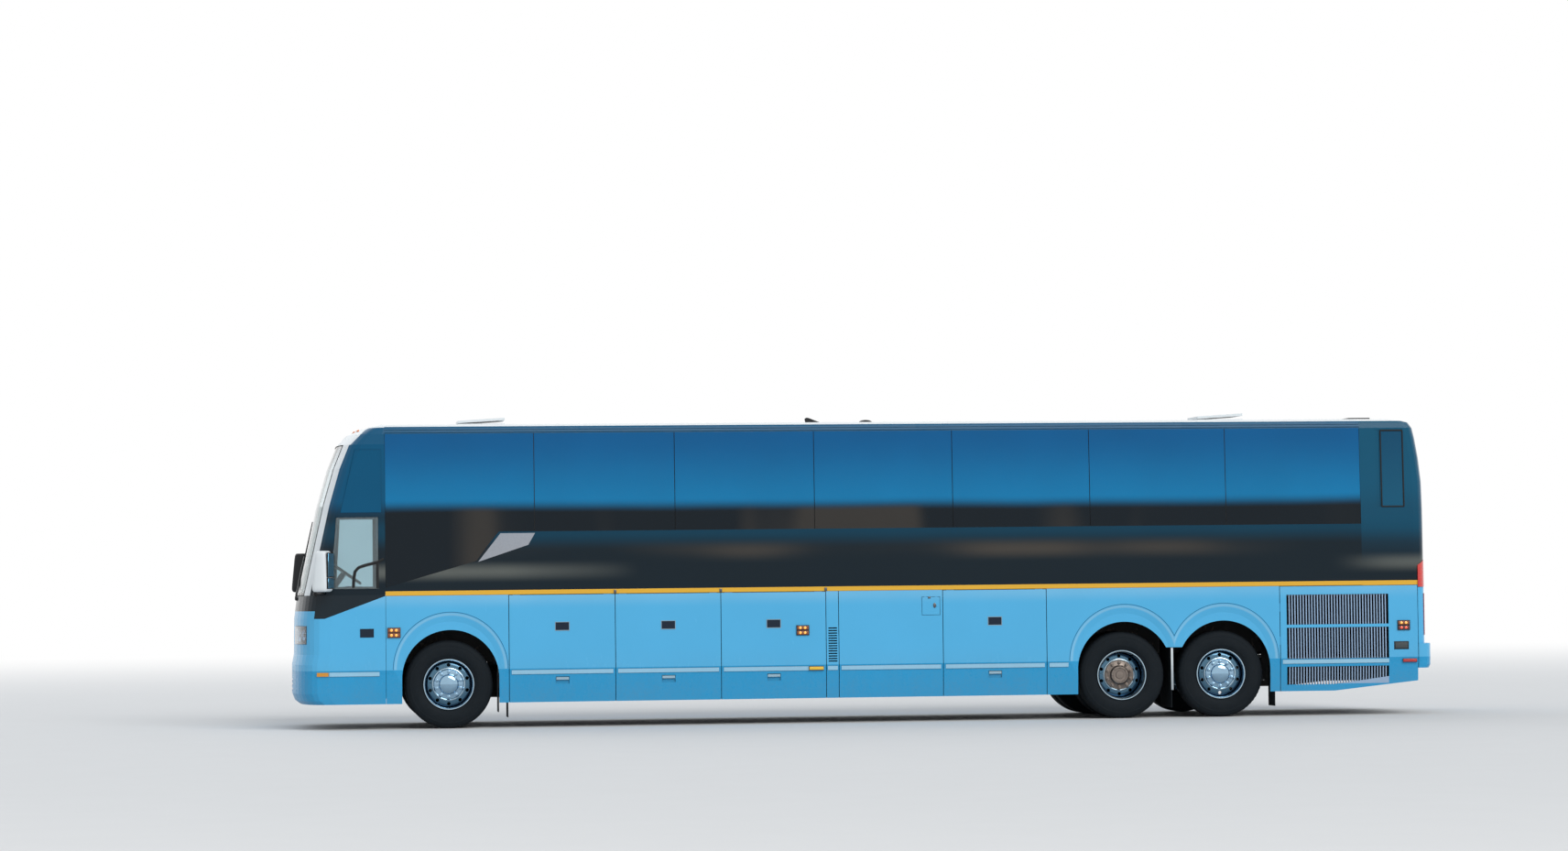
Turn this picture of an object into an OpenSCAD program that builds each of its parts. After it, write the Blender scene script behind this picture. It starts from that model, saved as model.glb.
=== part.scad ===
// Three-axle highway coach used as an airport passenger bus, in millimetres.
// X points forward, Y to the left and Z up. The origin is on the ground below the middle.

/* [Overall size] */
// Length over both bumpers
coach_length = 13720; // [13500:10:13900]
// Width over the side panels
coach_width = 2590; // [2550:5:2600]
// Height of the roof crown above the ground
roof_height = 3580; // [3570:5:3640]

/* [Axles and wheels] */
// Steer axle behind the front end
front_overhang = 1820; // [1790:5:1840]
// Drive axle ahead of the rear end
rear_overhang = 3880; // [3840:10:3920]
// Drive axle to tag axle
tag_spacing = 1210; // [1180:5:1240]
// Rolling radius of the tyres
tyre_radius = 515; // [500:5:525]
// Section width of one tyre
tyre_width = 312; // [290:2:320]
// Radius of the rim where the tyre's bead sits
rim_radius = 290; // [280:1:300]
// Centre plane of a single or outer tyre from the middle of the coach
track_half = 1050; // [1035:1:1056]
// Centre distance of the twin tyres
twin_spacing = 350; // [340:1:356]
// Kingpin axis from the middle of the coach
kingpin_half = 870; // [860:1:880]
// Radius of the kingpin
kingpin_radius = 30; // [24:1:34]
// Hand holes in a wheel disc
hand_holes = 10; // [8:1:10]

/* [Side panels] */
// Lower edge of the skirt
skirt_z = 295; // [270:5:320]
// Crease along the side, below which the skirt tucks in
crease_z = 690; // [660:5:720]
// Lower edge of the colour stripe, where the side doors end
stripe_z = 1555; // [1540:5:1570]
// Height of the colour stripe
stripe_height = 55; // [40:5:70]
// Lower edge of the side windows
sill_z = 2295; // [2250:5:2340]
// Upper edge of the side windows below the roof crown
header_drop = 130; // [115:5:145]
// Eave, where the roof starts to curve, below the roof crown
eave_drop = 63; // [58:1:75]
// Thickness of a lower side panel or door
panel_t = 42; // [36:1:46]
// Thickness of the upper side wall
wall_t = 60; // [50:1:70]
// Thickness of the glass
glass_t = 12; // [8:1:16]
// Joint between two neighbouring panels or panes
panel_gap = 8; // [6:1:12]
// Rear post of the front corner ahead of the steer axle
front_post = 734; // [720:2:750]
// First luggage door behind the steer axle
bay_start = 703; // [690:1:720]
// Last bay door ahead of the drive axle
bay_end = 923; // [900:1:940]
// Width of the narrow louvre panel
louvre_w = 151; // [130:1:170]
// End of the rear arch panel behind the tag axle
arch_end = 710; // [690:1:730]
// Rear corner seam ahead of the rear end
rear_corner = 260; // [250:1:280]
// First window seam behind the steer axle
window_start = 1013; // [980:1:1040]
// Last window seam ahead of the rear end
window_end = 940; // [900:1:960]
// Panes between the first and the last window seam
pane_count = 6; // [5:1:7]

/* [Wheel arches] */
// Radius of the opening over a wheel
arch_r = 567; // [555:1:580]
// Height of the centre of that arc
arch_z = 585; // [570:1:600]
// Radius of the flare line round the opening
flare_r = 672; // [655:1:690]
// Depth of the flare's bevel
flare_depth = 22; // [12:1:26]
// Height at which the panel between the rear arches ends
arch_bridge_z = 840; // [800:5:880]

/* [Front and rear ends] */
// Depth of the rounded front corners
nose_depth = 420; // [380:5:430]
// Depth of the rounded rear corners
tail_depth = 220; // [200:5:230]
// Thickness of the moulded end shells
shell_t = 50; // [40:1:56]
// Top of the front bumper
bumper_top = 920; // [880:5:960]
// Foot of the windscreen
screen_z = 1570; // [1560:5:1600]
// Head of the windscreen below the roof crown
screen_drop = 250; // [230:5:280]
// Lower edge of the rear bumper
rear_bumper_z = 555; // [540:5:580]
// Top of the rear bumper
rear_bumper_top = 850; // [820:5:870]
// Head of the engine door
engine_door_top = 1840; // [1800:5:1860]

/* [Entrance and driver] */
// Front edge of the entrance door behind the front end
door_front = 430; // [425:1:440]
// Sill of the entrance door
door_sill = 330; // [320:5:340]
// Head of the entrance door
door_head = 2650; // [2620:5:2680]
// Height of the driver's platform
platform_z = 1150; // [1120:5:1180]

/* [Seats and racks] */
// Rows of passenger seats on each side
seat_rows = 13; // [10:1:13]
// First row behind the front post
first_row = 660; // [640:5:700]
// Last row ahead of the rear end
last_row = 2014; // [2000:2:2060]
// Width of a double seat
seat_width = 900; // [840:5:920]
// Height of the cushion above the floor
cushion_height = 450; // [430:5:480]
// Height of the back above the floor
back_height = 1090; // [1000:5:1120]

/* [Roof] */
// Side of a square roof hatch lid
hatch_size = 560; // [520:5:600]
// Angle at which the hatch lids stand open
hatch_tilt = 3.5; // [2:0.5:5]
// Height of the hatch frame on the roof
hatch_frame = 25; // [20:1:30]
// Thickness of a hatch lid
hatch_t = 30; // [24:1:34]

/* [Hidden] */
$fn = 48;
tiny = 1;

// Colours
body_blue = "lightskyblue";
band_black = "#101318";
glass_blue = "#1b3a55";
trim_dark = "#24282c";
steel_grey = "#50555a";
alloy = "#c9ccd0";
seat_blue = "#2c3a58";
lamp_amber = "#e08a1e";
lamp_red = "#b01818";
white_paint = "#eef2f5";

// Places along the coach
half_w = coach_width / 2;
x_front = coach_length / 2;
x_rear = -coach_length / 2;
x_steer = x_front - front_overhang;
x_drive = x_rear + rear_overhang;
x_tag = x_drive - tag_spacing;
x_post = x_steer + front_post;
x_bay = x_steer - bay_start;
x_bay_end = x_drive + bay_end;
x_arch_end = x_tag - arch_end;
x_corner = x_rear + rear_corner;
door_pitch = (x_bay - x_bay_end - louvre_w) / 5;
x_louvre = x_bay - 3 * door_pitch;
x_window = x_steer - window_start;
x_window_end = x_rear + window_end;
pane_pitch = (x_window - x_window_end) / pane_count;
x_door_back = x_post;
x_door_front = x_front - door_front;
door_top = stripe_z - 5;
seat_pitch = (x_post - first_row - x_rear - last_row) / (seat_rows - 1);
floor_z = stripe_z;
floor_t = 50;
seat_fit = 0.3;
header_z = roof_height - header_drop;
eave_z = roof_height - eave_drop;
screen_top = roof_height - screen_drop;
rail_half = 380;
rail_w = 80;
rail_z = 760;
rail_h = 140;

// Tuck-in of the side: columns are height, distance inside the full half width
side_tuck = [
    [skirt_z, 30],
    [crease_z - 50, 7],
    [crease_z, 0],
    [stripe_z + stripe_height, 0],
    [sill_z, 6],
    [header_z, 45],
    [eave_z, 62]];
eave_half = half_w - 62;
roof_rise = eave_drop;
roof_steps = [0, 0.34, 0.64, 0.88, 1];
crown_fill = 0.985;

// Front outline seen from the side: columns are height, set back from the front end
function screen_at(s) = screen_z + s * (screen_top - screen_z);
nose_table = [
    [skirt_z, 92],
    [340, 30],
    [420, 0],
    [760, 0],
    [880, 23],
    [1300, 28],
    [screen_z, 65],
    [screen_at(0.301), 182],
    [screen_at(0.591), 295],
    [screen_at(0.841), 420],
    [screen_top, 533],
    [header_z, 640],
    [eave_z, 790],
    [eave_z + 0.34 * roof_rise, 880],
    [eave_z + 0.64 * roof_rise, 960],
    [eave_z + 0.88 * roof_rise, 1010],
    [roof_height, 1040]];

// Rear outline seen from the side: columns are height, set back from the rear end
tail_set = 70;
function pane_at(s) = sill_z + s * (header_z - sill_z);
tail_table = [
    [rear_bumper_z, 20],
    [rear_bumper_z + 40, 0],
    [rear_bumper_top - 0.5, 0],
    [rear_bumper_top, tail_set],
    [pane_at(0.17), tail_set],
    [pane_at(0.437), tail_set + 6],
    [pane_at(0.688), tail_set + 36],
    [pane_at(0.896), tail_set + 76],
    [header_z, tail_set + 104],
    [eave_z, tail_set + 150],
    [eave_z + 0.34 * roof_rise, tail_set + 220],
    [eave_z + 0.64 * roof_rise, tail_set + 330],
    [eave_z + 0.88 * roof_rise, tail_set + 490],
    [roof_height, tail_set + 640]];

// Directions round an end: 0 is straight ahead, 90 the side, 100 the post behind it
screen_edge = 42;
pillar_edge = 58;
corner_edge = 72;
post_edge = 100;
// Small clearance in degrees between two plates that meet at the same direction
edge_fit = 0.06;
screen_angles = [-42, -30, -20, -10, 0, 10, 20, 30, 42];
glass_angles = concat([-42 + edge_fit], [-30, -20, -10, 0, 10, 20, 30], [42 - edge_fit]);
round_angles = concat([-72 + edge_fit],
    [-65, -58, -50, -42, -30, -20, -10, 0, 10, 20, 30, 42, 50, 58, 65], [72 - edge_fit]);
full_angles = [-100, -90, -80, -72, -65, -58, -50, -42, -30, -20, -10, 0,
    10, 20, 30, 42, 50, 58, 65, 72, 80, 90, 100];

function half_at(z) = z <= eave_z
    ? half_w - lookup(z, side_tuck)
    : eave_half * pow(1 - pow(crown_fill * min(1, (z - eave_z) / roof_rise), 3), 1 / 3);
function angles(lo, hi) = [for (a = full_angles) if (a >= lo && a <= hi) a];
function sorted(v) = len(v) < 2 ? v : let (
    p = v[0],
    low = [for (x = v) if (x < p) x],
    high = [for (x = v) if (x > p) x])
    concat(sorted(low), [p], sorted(high));
function levels(lo, hi, table) = sorted(concat([lo, hi],
    [for (r = concat(table, side_tuck)) if (r[0] > lo + 2 && r[0] < hi - 2) r[0]]));
// Direction at which an end reaches a given distance behind its foremost point
function seam_angle(back, depth) = acos(pow(1 - back / depth, 1.5));
function end_x(z, tail) = x_front - lookup(z, tail ? tail_table : nose_table);
function end_depth(z, tail) =
    min(tail ? tail_depth : nose_depth, end_x(z, tail) - post_x(tail) - 10);
function post_x(tail) = tail ? -x_window_end : x_post;
function end_point(z, a, inset, tail) = let (
    w = half_at(z) - inset,
    d = end_depth(z, tail),
    xe = end_x(z, tail))
    abs(a) > 90
    ? [post_x(tail), sign(a) * w, z]
    : [xe - d + max(5, d - inset) * pow(abs(cos(a)), 2 / 3),
       w * sign(a) * pow(abs(sin(a)), 2 / 3), z];

// A shape drawn facing forward, turned round for the rear end
module at_end(tail) {
    if (tail) mirror([1, 0, 0]) children();
    else children();
}

// Curved plate on an end between two depths below its surface
module skin(zs, as, out = 0, inn = shell_t, tail = false) {
    nz = len(zs);
    na = len(as);
    points = [for (s = [out, inn]) for (z = zs) for (a = as) end_point(z, a, s, tail)];
    q = nz * na;
    grid = [for (i = [0 : nz - 2]) for (j = [0 : na - 2]) i * na + j];
    outer = [for (k = grid) each [[k, k + na, k + na + 1], [k, k + na + 1, k + 1]]];
    inner = [for (k = grid) each [[q + k, q + k + 1, q + k + na + 1], [q + k, q + k + na + 1, q + k + na]]];
    low = [for (j = [0 : na - 2]) [j, j + 1, q + j + 1, q + j]];
    t = (nz - 1) * na;
    high = [for (j = [0 : na - 2]) [t + j + 1, t + j, q + t + j, q + t + j + 1]];
    first = [for (i = [0 : nz - 2]) let (k = i * na) [k + na, k, q + k, q + k + na]];
    last = [for (i = [0 : nz - 2]) let (k = i * na + na - 1) [k, k + na, q + k + na, q + k]];
    at_end(tail)
        polyhedron(concat(outer, inner, low, high, first, last) == [] ? [] : points,
            concat(outer, inner, low, high, first, last), 10);
}

// Solid end between its lowest and highest level, shrunk by inset and lowered by drop at the top
module end_solid(zs, inset, drop, back, tail) {
    nz = len(zs);
    na = len(full_angles);
    span = zs[nz - 1] - zs[0];
    points = [for (i = [0 : nz - 1]) for (a = full_angles)
        let (p = end_point(zs[i], a, inset, tail))
        [abs(a) > 90 ? p[0] - back : p[0], p[1],
         p[2] - drop * (zs[i] - zs[0]) / span - (i == 0 ? back : 0)]];
    sides = [for (i = [0 : nz - 2]) for (j = [0 : na - 2]) let (k = i * na + j)
        each [[k, k + na, k + na + 1], [k, k + na + 1, k + 1]]];
    low = [[for (j = [0 : na - 1]) j]];
    high = [[for (j = [na - 1 : -1 : 0]) (nz - 1) * na + j]];
    rear = [for (i = [0 : nz - 2]) let (k = i * na)
        each [[k + na, k, k + na - 1], [k + na, k + na - 1, k + 2 * na - 1]]];
    at_end(tail)
        polyhedron(points, concat(sides, low, high, rear), 10);
}

module end_shell(lo, hi, table, tail) {
    zs = levels(lo, hi, table);
    difference() {
        end_solid(zs, 0, 0, 0, tail);
        end_solid(zs, shell_t, shell_t, tiny, tail);
    }
}

// Strip of the side between two stations, from depth in to height out of its surface
module side_band(x0, x1, zs, in, out = 0) {
    translate([x0, 0, 0])
        rotate([90, 0, 90])
            linear_extrude(x1 - x0)
                polygon(concat(
                    [for (z = zs) [half_at(z) + out, z]],
                    [for (i = [len(zs) - 1 : -1 : 0]) [half_at(zs[i]) - in, zs[i]]]));
}

// Mirrors its children to the right-hand side when side is -1
module on_side(side) {
    if (side < 0) mirror([0, 1, 0]) children();
    else children();
}

// Block between two corners
module block(a, b) {
    translate(a) cube(b - a);
}

// Upright prism along Y on an outline in X and Z
module across(y0, y1) {
    translate([0, y1, 0])
        rotate([90, 0, 0])
            linear_extrude(y1 - y0) children();
}

// Lower side panels

trim_z = crease_z - 42;
trim_height = 56;

// Plain lower panel between two seams, with its trim strip below the crease
module low_panel(x0, x1, top = door_top) {
    side_band(x0, x1, [skirt_z, crease_z - 50, crease_z, top], panel_t);
}
module trim_strip(x0, x1) {
    side_band(x0, x1, [trim_z - trim_height / 2, trim_z + trim_height / 2], 6, 4);
}
// Lamp standing out of a flat side
module side_lamp(x, z, length, height, out) {
    block([x - length / 2, half_w - 12, z - height / 2], [x + length / 2, half_w + out, z + height / 2]);
}
marker_l = 176;
marker_h = 44;
double_l = 152;
double_h = 118;
lamp_out = 14;
bay_marker_x = 122;
bay_double_x = 279;
bay_double_z = 1098;
tail_marker_x = 110;
tail_double_x = 180;
tail_double_z = 1071;
arch_double_x = 638;
arch_double_z = 1126.5;

// Handle and plate of a side door, at the middle of the door
handle_z = 550;
plate_z = 1180;
module door_pull(x) {
    block([x - 80, half_w - 34, handle_z - 42], [x + 80, half_w + 20, handle_z + 42]);
}
module door_handle(x) {
    block([x - 74, half_w - 34, handle_z + 4], [x + 74, half_w - 9, handle_z + 34]);
    block([x - 86, half_w - 1, plate_z - 53], [x + 86, half_w + 4, plate_z + 53]);
}

// Hinge leaves that carry a side door from the wall above it
module hinge_leaf(x) {
    block([x - 45, half_w - 30, door_top - 4], [x + 45, half_w - 5, stripe_z - seat_fit]);
}
module side_door(x0, x1) {
    x = (x0 + x1) / 2;
    difference() {
        low_panel(x0 + panel_gap / 2, x1 - panel_gap / 2);
        door_pull(x);
    }
    trim_strip(x0 + 28, x1 - 28);
    door_handle(x);
    hinge_leaf(x0 + 90);
    hinge_leaf(x1 - 90);
}

// Opening over a wheel, and the bevel of its flare
module arch_cut(x, rear_side) {
    depth = half_w + 10;
    translate([x, depth, arch_z]) rotate([90, 0, 0]) cylinder(h = 400, r = arch_r);
    block([x - arch_r, half_w - 400, 0], [x + arch_r, depth, arch_z]);
    translate([x, half_w + tiny, crease_z])
        rotate([90, 0, 0])
            cylinder(h = flare_depth, r1 = flare_r + tiny * 4, r2 = arch_r - 7);
}

arch_shift = 20;
x_arch = x_steer - arch_shift;
module front_arch_panel() {
    difference() {
        low_panel(x_bay + panel_gap / 2, x_post - panel_gap / 2, stripe_z);
        arch_cut(x_arch);
    }
}
module rear_arch_panel() {
    difference() {
        low_panel(x_arch_end + panel_gap / 2, x_bay_end - panel_gap / 2, stripe_z);
        arch_cut(x_drive - arch_shift);
        arch_cut(x_tag - arch_shift);
        block([x_tag, half_w - 400, 0], [x_drive, half_w + 10, arch_bridge_z]);
    }
    trim_strip(x_drive - arch_shift + flare_r + 12, x_bay_end - 28);
}
// Narrow panel with its open louvre
louvre_rows = 14;
louvre_z = 722;
louvre_step = 30;
louvre_slot = 15;
module louvre_panel() {
    x0 = x_louvre - louvre_w + panel_gap / 2;
    x1 = x_louvre - panel_gap / 2;
    difference() {
        low_panel(x0, x1, stripe_z);
        for (i = [0 : louvre_rows - 1])
            block([x0 + 16, half_w - 60, louvre_z + i * louvre_step],
                [x1 - 22, half_w + 10, louvre_z + i * louvre_step + louvre_slot]);
    }
    trim_strip(x0 + 12, x1 - 12);
}
// Fuel filler pocket and its flap
flap_size = 210;
x_flap = x_louvre - louvre_w - door_pitch + 37;
flap_z = 1262;
flap_gap = 5;
module service_panel(with_flap) {
    x0 = x_louvre - louvre_w - door_pitch;
    difference() {
        low_panel(x0 + panel_gap / 2, x_louvre - louvre_w - panel_gap / 2, stripe_z);
        if (with_flap)
            block([x_flap - flap_gap, half_w - 34, flap_z - flap_gap],
                [x_flap + flap_size + flap_gap, half_w + 10, flap_z + flap_size + flap_gap]);
    }
    trim_strip(x0 + 28, x_louvre - louvre_w - 28);
    if (with_flap)
        translate([x_flap + flap_size / 2, half_w - 15, flap_z + flap_size / 2])
            rotate([90, 0, 0]) cylinder(h = 20, r = 48);
}
module fuel_flap() {
    color(body_blue) {
        block([x_flap, half_w - 8, flap_z], [x_flap + flap_size, half_w, flap_z + flap_size]);
        for (x = [x_flap + 40, x_flap + flap_size - 40])
            block([x - 18, half_w - 8, flap_z + flap_size - 1],
                [x + 18, half_w - 3, flap_z + flap_size + flap_gap - seat_fit]);
        translate([x_flap + 30, half_w + 5, flap_z + 110]) rotate([90, 0, 0]) cylinder(h = 12, r = 14);
    }
}

corner_plate_x = 138;
corner_plate_l = 160;
corner_plate_z = 1075;
corner_plate_h = 101;
module lower_side(side) {
    color(body_blue)
        on_side(side) {
            front_arch_panel();
            rear_arch_panel();
            louvre_panel();
            service_panel(side > 0);
            difference() {
                skin(levels(skirt_z, screen_z, nose_table), angles(corner_edge, post_edge));
                if (side < 0)
                    block([x_post - 50, 0, 0], [x_door_front + panel_gap, half_w + 20, screen_z + 10]);
            }
            if (side > 0) {
                trim_strip(x_post + 75, x_front - nose_depth - 8);
                block([x_post + corner_plate_x, half_w - 5, corner_plate_z],
                    [x_post + corner_plate_x + corner_plate_l, half_w + 4, corner_plate_z + corner_plate_h]);
            }
        }
}
module lower_left() { lower_side(1); }
module lower_right() { lower_side(-1); }

// The third door carries the side marker and a double lamp
module luggage_door(side, n) {
    x0 = x_bay - n * door_pitch;
    color(body_blue)
        on_side(side) {
            side_door(x0, x0 + door_pitch);
            if (n == 3) {
                side_lamp(x0 + bay_marker_x, trim_z, marker_l, marker_h, lamp_out);
                side_lamp(x0 + bay_double_x, bay_double_z, double_l, double_h, lamp_out);
            }
        }
}
module service_door(side) {
    color(body_blue) on_side(side) side_door(x_bay_end, x_bay_end + door_pitch);
}

// Radiator door: a frame round two fields of upright slats
tail_rise = 110;
tail_rise_from = 580;
grille_top = 1450;
grille_mid_z = 1055;
grille_bar = 36;
grille_low = 682;
grille_foot_top = 588;
grille_foot_z = 372;
grille_front = 82;
grille_rear = 364;
slat_count = 36;
slat_w = 13;
module grille_door(side) {
    x0 = x_corner + panel_gap / 2;
    x1 = x_arch_end - panel_gap / 2;
    gx0 = x_corner + grille_rear;
    gx1 = x_arch_end - grille_front;
    step = (gx1 - gx0) / slat_count;
    color(body_blue)
        on_side(side) {
            difference() {
                low_panel(x0, x1);
                across(half_w - 100, half_w + 20)
                    polygon([[x0 - 9, skirt_z - 9], [x1 - tail_rise_from, skirt_z - 9], [x0 - 9, skirt_z + tail_rise]]);
                block([gx0, half_w - 80, grille_mid_z + grille_bar], [gx1, half_w + 20, grille_top]);
                block([gx0, half_w - 80, grille_low], [gx1, half_w + 20, grille_mid_z]);
                across(half_w - 100, half_w + 20)
                    polygon([[gx0, grille_foot_z + tail_rise * 0.8], [gx1 - tail_rise_from, grille_foot_z],
                        [gx1, grille_foot_z], [gx1, grille_foot_top], [gx0, grille_foot_top]]);
            }
            for (i = [1 : slat_count - 1])
                intersection() {
                    side_band(gx0 + i * step - slat_w / 2, gx0 + i * step + slat_w / 2,
                        [grille_foot_z, crease_z - 50, crease_z, grille_top + tiny], panel_t - 6, -8);
                    across(0, half_w)
                        polygon([[x0, skirt_z + tail_rise + 12], [x1 - tail_rise_from, skirt_z + 12],
                            [x1, skirt_z + 12], [x1, door_top], [x0, door_top]]);
                }
            trim_strip(gx0, x1 - 24);
            side_lamp(x_corner + tail_marker_x, trim_z, marker_l, marker_h, lamp_out);
            side_lamp(x_corner + tail_double_x, tail_double_z, double_l, double_h, lamp_out);
            for (z = [900, door_top - 250])
                block([x1 - 1, half_w - 25, z - 50], [x1 + panel_gap - seat_fit, half_w - 8, z + 50]);
        }
}

// Upper side walls and their glass

// Outline of the front pane, whose lower edge dips: columns are distance behind the post, height
dip = [
    [0, 1651],
    [572, 1815],
    [1064, 1955],
    [1188, 2127],
    [1328, sill_z]];
dip_gap = 2;
module pane_outline(i, grow) {
    x1 = i == 0 ? x_post : x_window - (i - 1) * pane_pitch;
    x0 = x_window - i * pane_pitch;
    if (i == 0)
        polygon(concat(
            [for (p = dip)
                [x1 - p[0] - panel_gap / 2 * (p[0] == 0 ? 1 - grow : 0), p[1] + dip_gap * (1 - grow)]],
            [[x0 + panel_gap / 2 * (1 - grow), sill_z], [x0 + panel_gap / 2 * (1 - grow), header_z],
             [x1 - panel_gap / 2 * (1 - grow), header_z]]));
    else
        translate([x0 + panel_gap / 2 * (1 - grow), sill_z])
            square([x1 - x0 - panel_gap * (1 - grow), header_z - sill_z]);
}
wall_levels = [stripe_z, stripe_z + stripe_height, sill_z, header_z];
pillar_w = 110;
module window_band(in, out, grow) {
    intersection() {
        side_band(x_window_end - 10, x_post + 10, [stripe_z + stripe_height, sill_z, header_z + 5 * grow], in, out);
        across(0, half_w + 100)
            for (i = [0 : pane_count]) pane_outline(i, grow);
    }
}
module side_wall(side) {
    color(band_black)
        on_side(side)
            difference() {
                side_band(x_window_end, x_post, wall_levels, wall_t);
                window_band(glass_t + seat_fit, 20, 1);
                for (i = [0 : pane_count])
                    block([x_window - i * pane_pitch + pillar_w / 2, half_w - 200, sill_z + 60],
                        [(i == 0 ? x_post : x_window - (i - 1) * pane_pitch) - pillar_w / 2,
                         half_w + 20, header_z - 50]);
            }
}
module side_glass(side) {
    color(glass_blue, 0.6) on_side(side) window_band(glass_t, 0, 0);
}

// Roof between the front and rear caps

roof_levels = concat([header_z], [for (s = roof_steps) eave_z + s * roof_rise]);
roof_t = 50;
hatch_gap = 6;
x_hatch_front = x_steer - 449;
x_hatch_rear = x_tag - 254;
module roof_section() {
    n = len(roof_levels) - 1;
    outer = [for (z = roof_levels) [half_at(z), z]];
    inner = [for (z = roof_levels) [max(0, half_at(z) - wall_t),
        header_z + (z - header_z) * (roof_height - roof_t - header_z) / (roof_height - header_z)]];
    polygon(concat(outer,
        [for (i = [n : -1 : 0]) [-outer[i][0], outer[i][1]]],
        [for (i = [0 : n]) [-inner[i][0], inner[i][1]]],
        [for (i = [n : -1 : 0]) inner[i]]));
}
module hatch_frame_at(x) {
    block([x - hatch_size / 2, -hatch_size / 2, roof_height - 20],
        [x + hatch_size / 2, hatch_size / 2, roof_height + hatch_frame]);
}
module roof_shell() {
    color(white_paint)
        difference() {
            union() {
                translate([x_window_end, 0, 0])
                    rotate([90, 0, 90])
                        linear_extrude(x_post - x_window_end) roof_section();
                hatch_frame_at(x_hatch_front);
                hatch_frame_at(x_hatch_rear);
            }
            for (x = [x_hatch_front, x_hatch_rear])
                block([x - hatch_size / 2 + 40, -hatch_size / 2 + 40, header_z],
                    [x + hatch_size / 2 - 40, hatch_size / 2 - 40, roof_height + 100]);
        }
}
module hatch_lid(x) {
    color(white_paint)
        translate([x + hatch_size / 2, 0, roof_height + hatch_frame + hatch_gap])
            rotate([0, hatch_tilt, 0])
                union() {
                    block([-hatch_size, -hatch_size / 2, 0], [0, hatch_size / 2, hatch_t]);
                    for (y = [-160, 160])
                        block([-30, y - 25, -hatch_gap + 0.3], [-4, y + 25, 1]);
                }
}
module hatch_front() { hatch_lid(x_hatch_front); }
module hatch_rear() { hatch_lid(x_hatch_rear); }

// Front end

module front_cap() {
    color(white_paint) {
        end_shell(screen_top, roof_height, nose_table, false);
        for (s = [-1, 1])
            on_side(s)
                skin(levels(screen_z, screen_top, nose_table), angles(screen_edge, pillar_edge));
    }
}
module windscreen() {
    color(glass_blue, 0.5)
        skin(levels(screen_z, screen_top, nose_table), glass_angles, 0, glass_t);
}
// Side of the driver's place above the lower corner panel
cab_window_z = 1640;
cab_window_top = 2480;
cab_upper_z = 2530;
cab_window_back = 78;
cab_window_front = 640;
module cab_window_prism(g) {
    across(0, half_w + 100) {
        polygon([
            [x_post + cab_window_back + g, cab_window_z + g],
            [x_post + cab_window_front - g, cab_window_z + g],
            [x_post + cab_window_front - 70 - g, cab_window_top - g],
            [x_post + cab_window_back + g, cab_window_top - g]]);
        polygon([
            [x_post + 40 + g, cab_upper_z + g],
            [x_post + cab_window_front - 120 - g, cab_upper_z + g],
            [x_post + cab_window_front - 290 - g, screen_top - 60 - g],
            [x_post + 40 + g, screen_top - 60 - g]]);
    }
}
module cab_skin(out, inn) {
    skin(levels(screen_z, screen_top, nose_table),
        concat([pillar_edge + edge_fit], angles(pillar_edge + 1, post_edge)), out, inn);
}
module cab_side_left() {
    color(band_black)
        difference() {
            cab_skin(0, shell_t);
            intersection() {
                cab_skin(-10, glass_t + seat_fit);
                cab_window_prism(0);
            }
            cab_window_prism(28);
        }
}
module driver_glass() {
    color(glass_blue, 0.5)
        intersection() {
            cab_skin(0, glass_t);
            cab_window_prism(3);
        }
}
module cab_side_right() {
    color(band_black)
        on_side(-1)
            difference() {
                cab_skin(0, shell_t);
                block([x_post - 50, 0, 0], [x_door_front + panel_gap, half_w + 10, door_head + panel_gap]);
            }
}
// Entrance door, a curved leaf with its window cut
door_frame = 90;
door_window_z = 1250;
module door_leaf(out, inn) {
    intersection() {
        skin(levels(skirt_z, door_head + 100, nose_table),
            concat([pillar_edge + 2.5], angles(pillar_edge + 4, post_edge)), out, inn);
        block([x_door_back + panel_gap, 0, door_sill], [x_door_front, half_w + 10, door_head]);
    }
}
module entry_door() {
    x0 = x_door_back + panel_gap + door_frame;
    x1 = x_door_front - door_frame;
    color(band_black)
        on_side(-1) {
            difference() {
                door_leaf(0, panel_t);
                block([x0, 0, door_window_z], [x1, half_w + 20, door_head - door_frame]);
            }
            intersection() {
                door_leaf(4, 4 + glass_t);
                block([x0 - 10, 0, door_window_z - 10], [x1 + 10, half_w + 20, door_head - door_frame + 10]);
            }
            for (z = [620, 1180])
                block([x_door_front - 30, half_w - 30, z - 50], [x_door_front + panel_gap - seat_fit, half_w - 12, z + 50]);
        }
}
headlamp_z = 1000;
headlamp_top = 1215;
module front_mask() {
    color(body_blue)
        difference() {
            skin(levels(bumper_top, screen_z, nose_table), round_angles);
            for (s = [-1, 1])
                on_side(s)
                    skin([headlamp_z, headlamp_top], angles(20, 58), -3, 40);
        }
}
module headlamps() {
    color("ghostwhite", 0.7)
        for (s = [-1, 1])
            on_side(s) {
                skin([headlamp_z + 1, headlamp_top - 1], angles(20, 58), 0, 8);
                skin([headlamp_z + 1, headlamp_top - 1], angles(20, 58), 30, 40 - seat_fit);
            }
}
tow_r = 20;
tow_boss = 42;
tow_depth = 160;
tow_y = 560;
tow_z = 690;
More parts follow.
